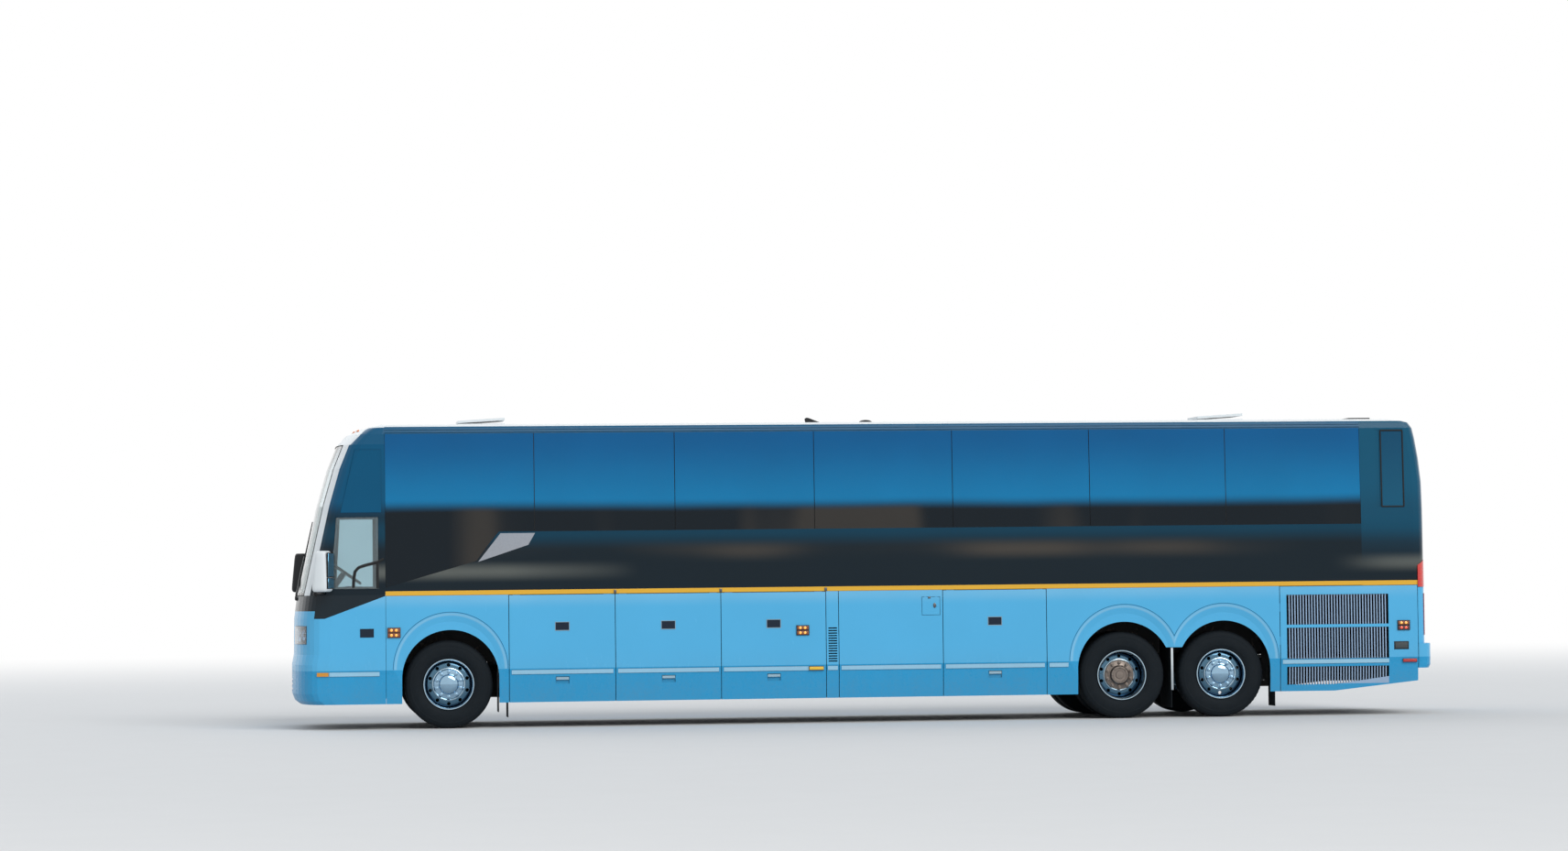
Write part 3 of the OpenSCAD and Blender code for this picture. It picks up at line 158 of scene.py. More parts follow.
def make_stage():
    bm = bmesh.new()
    bmesh.ops.create_grid(bm, x_segments=2, y_segments=2, size=90.0)
    mesh = bpy.data.meshes.new("floor")
    bm.to_mesh(mesh)
    bm.free()
    floor = bpy.data.objects.new("floor", mesh)
    floor.location = (0, 0, -0.001)
    bpy.context.scene.collection.objects.link(floor)
    n = Look("floor_pale")
    n.set(color=n.vary((0.62, 0.63, 0.64), n.noise(1.5, 4.0, 0.6), 0.02), rough=0.85, shine=0.2)
    far = n.op("SQRT", n.add(n.mul(n.x, n.x), n.mul(n.y, n.y)))
    light = n.node("LightPath").outputs
    seen = n.most(light["Is Camera Ray"], n.most(light["Is Glossy Ray"], light["Is Transmission Ray"]))
    glow = n.node("Emission")
    glow.inputs["Color"].default_value = (1.0, 1.0, 1.0, 1.0)
    faded = n.node("MixShader")
    for value, socket in zip((n.mul(n.step(far, 14.0, 60.0), seen), n.base.outputs[0], glow.outputs[0]),
            faded.inputs):
        n.put(value, socket)
    n.put(faded.outputs[0], n.tree.nodes["Material Output"].inputs["Surface"])
    mesh.materials.append(n.mat)

    world = bpy.data.worlds.new("studio")
    bpy.context.scene.world = world
    world.use_nodes = True
    t = world.node_tree
    t.nodes.clear()
    out = t.nodes.new("ShaderNodeOutputWorld")
    path = t.nodes.new("ShaderNodeLightPath").outputs
    soft, white = (t.nodes.new("ShaderNodeBackground") for _ in range(2))
    soft.inputs["Color"].default_value = (0.93, 0.965, 1.0, 1.0)
    soft.inputs["Strength"].default_value = 0.62
    white.inputs["Color"].default_value = (1.0, 1.0, 1.0, 1.0)
    seen = path["Is Camera Ray"]
    for ray in ("Is Glossy Ray", "Is Transmission Ray"):
        either = t.nodes.new("ShaderNodeMath")
        either.operation = "MAXIMUM"
        t.links.new(seen, either.inputs[0])
        t.links.new(path[ray], either.inputs[1])
        seen = either.outputs[0]
    mixer = t.nodes.new("ShaderNodeMixShader")
    for value, socket in zip((seen, soft.outputs[0], white.outputs[0]), mixer.inputs):
        t.links.new(value, socket)
    t.links.new(mixer.outputs[0], out.inputs["Surface"])

    for name, direction, strength, spread, tint in (
            ("key", (0.35, -0.75, -0.62), 1.85, 40.0, (1.0, 0.985, 0.96)),
            ("fill", (-0.45, 0.70, -0.60), 0.70, 60.0, (0.93, 0.96, 1.0))):
        lamp = bpy.data.lights.new(name, "SUN")
        lamp.energy = strength
        lamp.angle = math.radians(spread)
        lamp.color = tint
        obj = bpy.data.objects.new(name, lamp)
        obj.rotation_euler = Vector(direction).to_track_quat("-Z", "Y").to_euler()
        bpy.context.scene.collection.objects.link(obj)


# Materials

SOCKETS = {"color": "Base Color", "rough": "Roughness", "normal": "Normal", "metal": "Metallic",
    "shine": "Specular IOR Level", "coat": "Coat Weight", "coat_rough": "Coat Roughness", "ior": "IOR",
    "clear": "Transmission Weight", "fuzz": "Sheen Weight", "glow": "Emission Color",
    "glow_power": "Emission Strength"}


class Look:
    """A new material, with short calls that build its node tree."""

    def __init__(self, name):
        self.mat = bpy.data.materials.new(name)
        self.mat.use_nodes = True
        self.tree = self.mat.node_tree
        self.base = self.tree.nodes["Principled BSDF"]
        place = self.node("TexCoord").outputs
        self.pos = place["Object"]
        self.aim_y = self.split(place["Normal"])[1]
        self.x, self.y, self.z = self.split(self.pos)
        self.side = self.op("ABSOLUTE", self.y)

    def node(self, kind):
        return self.tree.nodes.new("ShaderNode" + kind)

    def split(self, vector):
        n = self.node("SeparateXYZ")
        self.put(vector, n.inputs[0])
        return n.outputs

    def put(self, value, socket):
        if isinstance(value, bpy.types.NodeSocket):
            self.tree.links.new(value, socket)
        elif isinstance(value, tuple):
            socket.default_value = (value + (1.0,))[:len(socket.default_value)]
        else:
            socket.default_value = value

    def set(self, **values):
        for name, value in values.items():
            self.put(value, self.base.inputs[SOCKETS[name]])
        return self.mat

    def op(self, kind, *values, clamp=False):
        n = self.node("Math")
        n.operation = kind
        n.use_clamp = clamp
        for value, socket in zip(values, n.inputs):
            self.put(value, socket)
        return n.outputs[0]

    def mul(self, *values):
        out = values[0]
        for v in values[1:]:
            out = self.op("MULTIPLY", out, v)
        return out

    def add(self, a, b):
        return self.op("ADD", a, b)

    def sub(self, a, b):
        return self.op("SUBTRACT", a, b)

    def most(self, a, b):
        return self.op("MAXIMUM", a, b)

    def ramp(self, value, factor, start):
        """value * factor + start"""
        return self.op("MULTIPLY_ADD", value, factor, start)

    def wave(self, value, count):
        return self.op("SINE", self.mul(value, count))

    def step(self, v, lo, hi):
        """0 below lo and 1 above hi."""
        n = self.node("MapRange")
        n.interpolation_type = "SMOOTHSTEP"
        self.put(v, n.inputs["Value"])
        n.inputs["From Min"].default_value = lo
        n.inputs["From Max"].default_value = hi
        return n.outputs["Result"]

    def under(self, v, lo, hi):
        """1 below lo and 0 above hi."""
        return self.sub(1.0, self.step(v, lo, hi))

    def within(self, v, lo, hi, soft=0.0008):
        return self.mul(self.step(v, lo - soft, lo + soft), self.under(v, hi - soft, hi + soft))

    def line(self, ax, az, c):
        """ax * x + az * z - c"""
        return self.sub(self.add(self.mul(self.x, ax), self.mul(self.z, az)), c)

    def radius(self, centers, height):
        """Distance, seen from the side, from the nearest of some centres at one height."""
        near = None
        up = self.sub(self.z, height)
        for center in centers:
            dx = self.sub(self.x, center)
            r = self.op("SQRT", self.add(self.mul(dx, dx), self.mul(up, up)))
            near = r if near is None else self.op("MINIMUM", near, r)
        return near

    def noise(self, scale, detail=3.0, rough=0.5, stretch=None):
        where = self.pos
        if stretch:
            m = self.node("Mapping")
            m.inputs["Scale"].default_value = stretch
            self.put(where, m.inputs["Vector"])
            where = m.outputs[0]
        n = self.node("TexNoise")
        for key, value in (("Vector", where), ("Scale", scale), ("Detail", detail), ("Roughness", rough)):
            self.put(value, n.inputs[key])
        return n.outputs["Fac"]

    def mix(self, fac, a, b):
        n = self.node("Mix")
        n.data_type = "RGBA"
        for k, value in ((0, fac), (6, a), (7, b)):
            self.put(value, n.inputs[k])
        return n.outputs[2]

    def vary(self, color, noise, amount):
        """Darkens and lightens a colour by a noise around its middle."""
        n = self.node("HueSaturation")
        self.put(self.ramp(noise, 2 * amount, 1 - amount), n.inputs["Value"])
        self.put(color, n.inputs["Color"])
        return n.outputs[0]

    def bump(self, height, strength, distance=0.002):
        n = self.node("Bump")
        for key, value in (("Strength", strength), ("Distance", distance), ("Height", height)):
            self.put(value, n.inputs[key])
        return n.outputs[0]


# Plain linear colours
BLUE = (0.082, 0.410, 0.700)
# BLUE_SHADED is the body blue darkened as painted shade, for the skirt below the crease
BLUE_SHADED = (0.016, 0.305, 0.590)
PALE = (0.300, 0.560, 0.740)
BLACK = (0.006, 0.014, 0.021)
DEEP = (0.001, 0.078, 0.170)
# WARM_REFLECTION is a warm brown painted reflection, for gloss black and glass
WARM_REFLECTION = (0.085, 0.070, 0.055)
DARK = (0.010, 0.013, 0.018)
NAVY = (0.006, 0.014, 0.030)
GOLD = (0.720, 0.400, 0.045)
WHITE = (0.720, 0.760, 0.780)
RED = (0.420, 0.012, 0.010)
DUST = (0.210, 0.180, 0.140)


def finish_paint(n, color, rough=0.24, coat=0.08, dust_top=1.0, dust=0.17, shine=0.2):
    """Ends a paint with slight unevenness, smears and road dust that fades out towards a height."""
    color = n.vary(color, n.noise(1.3, 4.0, 0.55), 0.05)
    patch = n.mul(n.noise(3.0, 6.0, 0.65, (1.0, 1.0, 0.35)), n.noise(38.0, 4.0, 0.6))
    dusty = n.op("MULTIPLY", n.mul(n.under(n.z, 0.25, dust_top), patch), dust * 3.0, clamp=True)
    smear = n.ramp(n.noise(9.0, 5.0, 0.6, (1.0, 1.0, 0.4)), 0.16, rough - 0.08)
    return n.set(color=n.mix(dusty, color, DUST), rough=n.add(smear, n.mul(dusty, 0.5)),
        normal=n.bump(n.noise(240.0, 2.0, 0.5), 0.05, 0.0006), shine=shine, coat=coat, coat_rough=0.06)


def surface_half(n):
    """Distance of the side's own surface from the middle, as it tucks in towards the skirt."""
    (z0, t0), (z1, t1), (z2, t2) = TUCK[:3]
    low_rate = (t0 - t1) / (z1 - z0)
    mid_rate = (t1 - t2) / (z2 - z1) - low_rate
    low = n.mul(n.most(n.sub(n.z, z0), 0.0), low_rate)
    mid = n.mul(n.most(n.sub(n.z, z1), 0.0), mid_rate)
    return n.op("MINIMUM", n.add(n.add(low, mid), HALF - t0), HALF)


# Body blue with a painted shade below the crease, where the skirt turns down
def blue_shaded_below_crease(n):
    return n.mix(n.step(n.z, CREASE - 0.004, CREASE + 0.002), BLUE_SHADED, BLUE)


def body_blue(name, center=None, lamps=(), flat_side=True, black_top=None, arches=(), slats=False):
    """Blue panel paint: painted shade below the crease, a painted highlight under the stripe, a pale trim
    strip, dark plates, and painted shade in pockets and slots.
    center is the middle of a door, lamps are (x, z, half length, half height, colour)."""
    n = Look(name)
    # Painted highlight: soft paler patches in a band just under the stripe
    glow = n.mul(n.step(n.z, 1.38, 1.54), n.noise(0.8, 2.0, 0.5))
    color = n.mix(n.mul(glow, 0.55), blue_shaded_below_crease(n), PALE)
    if flat_side:
        low, high = TRIM_STRIP
        proud = n.sub(n.side, surface_half(n))
        strip = n.mul(n.within(n.z, low, high), n.step(proud, 0.0014, 0.0022))
        edge = n.most(n.within(n.z, low, low + STRIP_EDGE), n.within(n.z, high - STRIP_EDGE, high))
        color = n.mix(strip, color, PALE)
        color = n.mix(n.mul(strip, edge), color, (0.05, 0.17, 0.28))
        # Painted shade: surfaces more than 5 mm in from the side that do not face outwards turn dark
        outward = n.mul(n.aim_y, n.op("SIGN", n.y))
        recess_shade = n.mul(n.step(n.mul(proud, -1.0), 0.0045, 0.0055), n.under(outward, 0.15, 0.25))
        color = n.mix(recess_shade, color, DARK)
    if center is not None:
        dx = n.op("ABSOLUTE", n.sub(n.x, center))
        plate = n.mul(n.within(n.z, *PLATE_Z), n.step(n.side, 1.2962, 1.2970), n.under(dx, 0.087, 0.088))
        inside = n.within(n.z, PLATE_Z[0] + PLATE_RIM, PLATE_Z[1] - PLATE_RIM)
        rim = n.most(n.step(dx, 0.0785, 0.0795), n.sub(1.0, inside))
        color = n.mix(plate, color, NAVY)
        color = n.mix(n.mul(plate, rim), color, (0.24, 0.36, 0.44))
        handle = n.mul(n.within(n.side, 1.2815, 1.2868), n.within(n.z, *HANDLE_Z),
            n.under(dx, 0.0745, 0.0755))
        color = n.mix(handle, color, (0.30, 0.46, 0.56))
    if arches:
        # Round the arches, above the crease: a painted highlight on the flare, then a painted shade line
        # along its outer edge
        near = n.radius(arches, CREASE)
        above = n.step(n.z, CREASE, CREASE + 0.004)
        color = n.mix(n.mul(n.within(near, 0.632, 0.656, 0.016), above, 0.60), color, PALE)
        color = n.mix(n.mul(n.within(near, 0.6655, 0.6735), above), color, (0.020, 0.150, 0.300))
    if slats:
        rows = [n.within(n.z, low, high) for low, high in GRILLE_Z]
        field = n.mul(n.within(n.x, *GRILLE_X), n.most(n.most(rows[0], rows[1]), rows[2]))
        color = n.mix(n.mul(field, n.under(proud, 0.0014, 0.0022)), color, (0.300, 0.430, 0.610))
        # Painted shade in the gaps between the slats
        color = n.mix(recess_shade, color, DARK)
    for x, z, hx, hz, tone in lamps:
        spot = n.mul(n.within(n.x, x - hx - 0.001, x + hx + 0.001),
            n.within(n.z, z - hz - 0.001, z + hz + 0.001), n.step(n.side, 1.2955, 1.2965))
        color = n.mix(spot, color, tone)
    if black_top is not None:
        color = n.mix(black_top(n), color, BLACK)
    return finish_paint(n, color)


def gloss(n, color):
    return finish_paint(n, color, rough=0.13, coat=0.05, dust_top=0.8, dust=0.15, shine=0.12)


def black_gloss(name, extra):
    """Glossy black with soft painted reflections in bands: blue under the glass, a warm one and a pale one
    below it.
    """
    n = Look(name)
    color = n.mix(n.mul(n.within(n.z, 2.17, 2.45, 0.11), 0.85), BLACK, (0.002, 0.045, 0.085))
    reflection_cloud = n.step(n.noise(0.42, 1.0, 0.3, (1.0, 0.3, 2.2)), 0.36, 0.62)
    color = n.mix(n.mul(reflection_cloud, n.within(n.z, 1.96, 2.12, 0.08), 0.60), color, WARM_REFLECTION)
    reflection_cloud = n.step(n.noise(0.30, 1.0, 0.3, (1.0, 0.3, 0.6)), 0.46, 0.62)
    color = n.mix(n.mul(reflection_cloud, n.within(n.z, 1.76, 1.90, 0.07), 0.80), color, (0.120, 0.130, 0.120))
    return gloss(n, extra(n, color))


def entry_paint():
    """Entrance door: blue below, black above, with a clear window inside its seal."""
    n = Look("entry_door_paint")
    # The blue has a painted shade below the crease
    color = n.mix(n.under(n.z, BLACK_Z, BLACK_Z + 0.003), BLACK, blue_shaded_below_crease(n))
    front = n.under(n.line(1.0, 0.0556, 6.410), 0.0, 0.002)
    window = n.mul(n.step(n.x, 5.862, 5.864), front, n.within(n.z, 1.664, 2.556, 0.001))
    gloss(n, n.mix(window, color, (0.50, 0.66, 0.72)))
    return n.set(clear=n.mul(window, 0.92), ior=1.2)


def white_paint(name, extra=None):
    n = Look(name)
    color = n.mix(n.noise(5.0, 5.0, 0.6), WHITE, (0.64, 0.69, 0.72))
    if extra is not None:
        color = extra(n, color)
    return finish_paint(n, color, rough=0.34, coat=0.08, dust_top=0.8, dust=0.2)


def glass(name, top, low, transmission, dark_reflection_band=False):
    n = Look(name)
    # Blend from the low colour to the top colour by height; on the side glass this is a painted reflection of
    # the sky
    color = n.mix(n.step(n.z, SILL + 0.25, HEADER), low, top)
    if dark_reflection_band:
        # Painted reflection of the ground and surroundings: a dark band with warm patches along the bottom of
        # the glass
        soft = n.add(n.z, n.mul(n.noise(0.45, 1.0, 0.3, (1.0, 1.0, 0.2)), 0.07))
        color = n.mix(n.step(soft, SILL + 0.25, SILL + 0.42), (0.004, 0.010, 0.016), color)
        reflected_patches = n.mul(n.step(n.noise(0.7, 2.0, 0.4, (1.0, 1.0, 0.3)), 0.52, 0.66),
            n.within(soft, SILL - 0.4, SILL + 0.30, 0.05))
        color = n.mix(n.mul(reflected_patches, 0.45), color, WARM_REFLECTION)
    return n.set(color=n.vary(color, n.noise(1.1, 3.0, 0.5), 0.10), shine=0.14, ior=1.45,
        rough=n.ramp(n.noise(3.0, 3.0, 0.5), 0.03, 0.01), clear=transmission)


def screen_glass():
    """Clear laminated screen with a dark shade band along its top and a dark edge."""
    n = Look("windscreen_tint")
    color = n.mix(n.step(n.z, 2.98, SCREEN_TOP), (0.62, 0.74, 0.76), (0.05, 0.14, 0.17))
    edge = n.most(n.under(n.z, SCREEN_Z + 0.02, SCREEN_Z + 0.05),
        n.step(n.z, SCREEN_TOP - 0.05, SCREEN_TOP - 0.03))
    color = n.mix(edge, color, (0.010, 0.012, 0.014))
    return n.set(color=n.vary(color, n.noise(1.4, 3.0, 0.5), 0.05), ior=1.45,
        rough=n.ramp(n.noise(2.2, 3.0, 0.5), 0.03, 0.005), clear=n.mul(n.sub(1.0, edge), 0.92))


def cab_glass():
    """Driver's window: clear below, an opaque blue-black panel above."""
    n = Look("driver_glass_tint")
    top = n.step(n.z, DRIVER_PANEL_Z, DRIVER_PANEL_Z + 0.005)
    color = n.vary(n.mix(top, (0.60, 0.74, 0.78), DEEP), n.noise(1.6, 3.0, 0.5), 0.08)
    return n.set(color=color, rough=n.ramp(n.noise(3.0, 3.0, 0.5), 0.03, 0.008), shine=0.15, ior=1.45,
        clear=n.mul(n.sub(1.0, top), 0.92))


def clear_lens():
    n = Look("clear_lens")
    return n.set(color=n.vary((0.58, 0.66, 0.72), n.noise(20.0, 3.0, 0.5), 0.03), clear=0.95,
        rough=n.ramp(n.noise(40.0, 4.0, 0.6), 0.04, 0.01))


def metal(name, color, rough, scratch=0.12):
    n = Look(name)
    return n.set(color=n.vary(color, n.noise(16.0, 5.0, 0.6), 0.12), metal=1.0,
        rough=n.ramp(n.noise(60.0, 4.0, 0.6), scratch, rough),
        normal=n.bump(n.noise(120.0, 3.0, 0.6), 0.06, 0.0005))


def steel_paint(name, color=(0.030, 0.032, 0.035)):
    n = Look(name)
    wear = n.noise(7.0, 8.0, 0.7)
    tone = n.mix(n.step(wear, 0.56, 0.66), color, (0.085, 0.070, 0.058))
    return n.set(color=n.vary(tone, n.noise(40.0, 4.0, 0.6), 0.2), rough=n.ramp(wear, 0.35, 0.42),
        normal=n.bump(n.noise(90.0, 5.0, 0.6), 0.25, 0.0012))


def rubber(name):
    n = Look(name)
    tone = n.mix(n.mul(n.noise(11.0, 7.0, 0.7), 0.35), (0.004, 0.008, 0.012), (0.026, 0.028, 0.030))
    return n.set(color=n.vary(tone, n.noise(70.0, 3.0, 0.6), 0.2), shine=0.12,
        rough=n.ramp(n.noise(22.0, 4.0, 0.6), 0.2, 0.62),
        normal=n.bump(n.noise(260.0, 3.0, 0.6), 0.2, 0.0006))


def plastic(name, color, rough=0.5, grain=0.15, scale=420.0):
    n = Look(name)
    return n.set(color=n.vary(color, n.noise(6.0, 4.0, 0.6), 0.12), shine=0.25,
        rough=n.ramp(n.noise(18.0, 4.0, 0.6), 0.16, rough - 0.08),
        normal=n.bump(n.noise(scale, 2.0, 0.6), grain, 0.0008))


def lens(name, color, ribs=120.0, glow=0.0):
    """Lamp lens with fine moulded ribs."""
    n = Look(name)
    rows, columns = n.wave(n.z, ribs * 6.283), n.wave(n.add(n.x, n.y), ribs * 6.283)
    n.set(color=n.vary(color, n.ramp(rows, 0.5, 0.5), 0.18), rough=0.12, coat=0.6,
        normal=n.bump(n.add(rows, columns), 0.4, 0.0006))
    if glow:
        n.set(glow=color, glow_power=glow)
    return n.mat


def side_lamp_lens():
    """Amber lens of the low markers, dark brown housing of the double lamps above."""
    n = Look("side_lamp_lens")
    rows = n.wave(n.z, 754.0)
    color = n.mix(n.step(n.z, 0.80, 0.81), (0.640, 0.270, 0.030), (0.060, 0.022, 0.008))
    return n.set(color=n.vary(color, n.ramp(rows, 0.5, 0.5), 0.18), rough=0.15,
        normal=n.bump(rows, 0.4, 0.0006))


def wheel_alloy():
    """Polished wheel with turning marks: a bright lip and seat ring, a darker disc, and a darker ring where
    the disc meets the barrel; the blue tones and the dark disc are a painted reflection of sky and ground.
    """
    n = Look("polished_alloy")
    near = n.radius((X_STEER, X_DRIVE, X_TAG), TYRE_R)
    bright = n.most(n.step(near, 0.276, 0.280), n.within(near, 0.178, 0.196, 0.002))
    color = n.mix(bright, (0.080, 0.165, 0.240), (0.420, 0.550, 0.640))
    color = n.mix(n.within(near, 0.255, 0.274, 0.004), color, (0.060, 0.100, 0.150))
    return n.set(color=n.vary(color, n.noise(16.0, 5.0, 0.6), 0.12), metal=1.0,
        rough=n.ramp(n.noise(50.0, 4.0, 0.6), 0.12, 0.10), normal=n.bump(n.wave(near, 2400.0), 0.06, 0.0004))


def radiator_core():
    """Dark core with fine upright fins and flat tubes across them."""
    n = Look("radiator_core")
    fins, tubes = n.wave(n.x, 1500.0), n.wave(n.z, 520.0)
    tone = n.mix(n.ramp(tubes, 0.5, 0.5), (0.004, 0.005, 0.010), (0.012, 0.014, 0.022))
    return n.set(color=n.vary(tone, n.noise(8.0, 5.0, 0.6), 0.25), rough=0.7, shine=0.15,
        normal=n.bump(n.add(fins, tubes), 0.5))


def fabric(name, color, accent):
    """Woven seat cloth with a fine weave and small flecks."""
    n = Look(name)
    weave = n.mul(n.wave(n.add(n.x, n.z), 2600.0), n.wave(n.sub(n.y, n.z), 2600.0))
    fleck = n.step(n.noise(90.0, 3.0, 0.6), 0.58, 0.63)
    tone = n.mix(n.mul(fleck, 0.7), color, accent)
    return n.set(color=n.vary(tone, n.noise(7.0, 4.0, 0.6), 0.15), rough=0.85, fuzz=0.3,
        normal=n.bump(weave, 0.25, 0.0006))


# Mesh helpers

def piece(name, bm, look, smooth, body="coach", replaces=()):
    """Makes an object from bm. Edges sharper than smooth degrees stay sharp."""
    bmesh.ops.recalc_face_normals(bm, faces=bm.faces)
    bm.normal_update()
    for f in bm.faces:
        f.smooth = True
    for e in bm.edges:
        if len(e.link_faces) == 2 and e.calc_face_angle(0.0) > math.radians(smooth):
            e.smooth = False
    mesh = bpy.data.meshes.new(name)
    bm.to_mesh(mesh)
    bm.free()
    mesh.materials.append(MATS[look])
    obj = bpy.data.objects.new(name, mesh)
    bpy.context.scene.collection.objects.link(obj)
    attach(obj, body)
    if replaces:
        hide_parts(*replaces)
    return obj


def paint(node, mat):
    """Gives a CAD node one material."""
    data = NODES[node].data
    if not data.materials:
        data.materials.append(mat)
    for i in range(len(data.materials)):
        data.materials[i] = mat


def rotation(degrees, axis):
    return Matrix.Rotation(math.radians(degrees), 4, axis)


def stretched(x, y, z):
    return Matrix.Diagonal((x, y, z, 1))


def moved(x, y, z):
    return Matrix.Translation((x, y, z))


def around(count, radius, shift=0.0):
    """Points evenly round a circle."""
    angles = [2 * math.pi * (i + shift) / count for i in range(count)]
    return [(radius * math.cos(a), radius * math.sin(a)) for a in angles]


def frame_at(origin, along, out, up):
    m = Matrix((along, out, up)).transposed().to_4x4()
    m.translation = origin
    return m


def skin(bm, rings, loop=False, closed=True):
    """Faces between neighbouring rings. loop joins the last ring to the first, closed each ring's ends."""
    for p, q in list(zip(rings, rings[1:])) + ([(rings[-1], rings[0])] if loop else []):
        for j in range(len(p) if closed else len(p) - 1):
            k = (j + 1) % len(p)
            bm.faces.new((p[j], q[j], q[k], p[k]))


def cap_ends(bm, rings):
    bm.faces.new(rings[0][::-1])
    bm.faces.new(rings[-1])


def add_box(bm, lo, hi, bevel=0.0, segments=2, matrix=None):
    verts = bmesh.ops.create_cube(bm, size=1.0)["verts"]
    lo, hi = Vector(lo), Vector(hi)
    place = Matrix.Translation((hi + lo) / 2) @ Matrix.Diagonal(hi - lo).to_4x4()
    bmesh.ops.transform(bm, matrix=place, verts=verts)
    if bevel:
        edges = list({e for v in verts for e in v.link_edges})
        out = bmesh.ops.bevel(bm, geom=edges, offset=bevel, segments=segments, profile=0.6, affect="EDGES")
        verts = list({v for f in out["faces"] for v in f.verts} | {v for v in verts if v.is_valid})
    if matrix is not None:
        bmesh.ops.transform(bm, matrix=matrix, verts=[v for v in verts if v.is_valid])


def add_lathe(bm, profile, count, matrix, closed=False):
    """Turns (radius, along) points round the local Y axis."""
    rings = []
    for c, s in around(count, 1.0):
        rings.append([bm.verts.new(matrix @ Vector((r * s, y, r * c))) for r, y in profile])
    skin(bm, rings, True, closed)


def add_tube(bm, points, radius, sides=8):
    """A round bar along points."""
    pts = [Vector(p) for p in points]
    rings = []
    for i, p in enumerate(pts):
        t = (pts[min(i + 1, len(pts) - 1)] - pts[max(i - 1, 0)]).normalized()
        ref = Vector((0, 0, 1)) if abs(t.z) < 0.9 else Vector((1, 0, 0))
        u = t.cross(ref).normalized()
        v = t.cross(u)
        rings.append([bm.verts.new(p + c * u + s * v) for c, s in around(sides, radius)])
    skin(bm, rings)
    cap_ends(bm, rings)


def between(a, b, count):
    """Values from a to b in even steps, both included."""
    return [a + (b - a) * t / count for t in range(count + 1)]


def add_frame(bm, corners, count, radius, sides, at):
    """Bars along a closed loop of (x, z) corners, on the surface that at(x, z) gives."""
    for (xa, za), (xb, zb) in zip(corners, corners[1:] + corners[:1]):
        bar = zip(between(xa, xb, count), between(za, zb, count))
        add_tube(bm, [at(x, z) for x, z in bar], radius, sides)


def add_plate(bm, rows, thickness):
    """Curved plate through a grid of points, thickened along its own normals."""
    ni, nj = len(rows), len(rows[0])
    back = []
    for i in range(ni):
        line = []
        for j in range(nj):
            du = rows[min(i + 1, ni - 1)][j] - rows[max(i - 1, 0)][j]
            dv = rows[i][min(j + 1, nj - 1)] - rows[i][max(j - 1, 0)]
            line.append(rows[i][j] - du.cross(dv).normalized() * thickness)
        back.append(line)
    a, b = ([[bm.verts.new(p) for p in row] for row in grid] for grid in (rows, back))
    for grid in (a, b):
        skin(bm, grid, closed=False)
    edges = [a[0], [row[-1] for row in a], a[-1], [row[0] for row in a]]
    backs = [b[0], [row[-1] for row in b], b[-1], [row[0] for row in b]]
    for p, q in zip(edges, backs):
        skin(bm, [p, q], closed=False)


# Wheels

def tyre_profile():
    """Half section of the tyre from bead to bead, as radius and distance along the axle."""
    hw = TYRE_W / 2
    side = [(0.290, 0.040), (0.300, 0.026), (0.318, 0.015), (0.330, 0.013), (0.336, 0.008), (0.352, 0.004),
        (0.380, 0.0005), (0.405, 0.0), (0.430, 0.002), (0.448, 0.006), (0.455, 0.005), (0.462, 0.009),
        (0.480, 0.013), (0.494, 0.020), (0.505, 0.030), (0.5135, 0.040)]
    side = [(r, hw - inward) for r, inward in side]
    tread = []
    for y in (0.092, 0.046, 0.0, -0.046, -0.092):
        tread += [(TYRE_R, y + 0.0055), (0.503, y + 0.0035), (0.503, y - 0.0035), (TYRE_R, y - 0.0055)]
    return side + tread + [(r, -y) for r, y in reversed(side)]


def add_tyre(bm, place):
    """A tyre with grooves and shoulder cuts."""
    shoulder_r, shoulder_y, cut = 0.498, 0.098, 0.008
    rings = []
    for i, (c, s) in enumerate(around(180, 1.0)):
        ring = []
        for r, y in tyre_profile():
            if i % 3 == 0 and r > shoulder_r and abs(y) > shoulder_y:
                r -= cut
            ring.append(bm.verts.new(place @ Vector((r * s, y, r * c))))
        rings.append(ring)
    skin(bm, rings, True)


def rim_profile(disc):
    """Barrel and disc of a wheel: the disc's outer face stands disc outside the tyre's middle."""
    hw = TYRE_W / 2 - 0.014
    back = [(0.060, -0.030), (0.130, -0.030), (0.205, -0.030), (0.246, -0.034), (0.262, -0.056)]
    barrel = [(0.264, 0.010 - hw), (0.284, -hw), (0.2885, 0.012 - hw), (0.2885, hw - 0.020),
        (0.297, hw - 0.004), (0.296, hw + 0.003), (0.286, hw + 0.003), (0.279, hw - 0.006),
        (0.272, hw - 0.024)]
    face = [(0.2675, -0.022), (0.2625, -0.010), (0.2530, -0.003), (0.220, 0.001), (0.196, 0.002),
        (0.192, 0.010), (0.184, 0.012), (0.176, 0.006), (0.120, 0.002), (0.060, 0.002)]
    return [(r, disc + y) for r, y in back] + barrel + [(r, disc + y) for r, y in face]


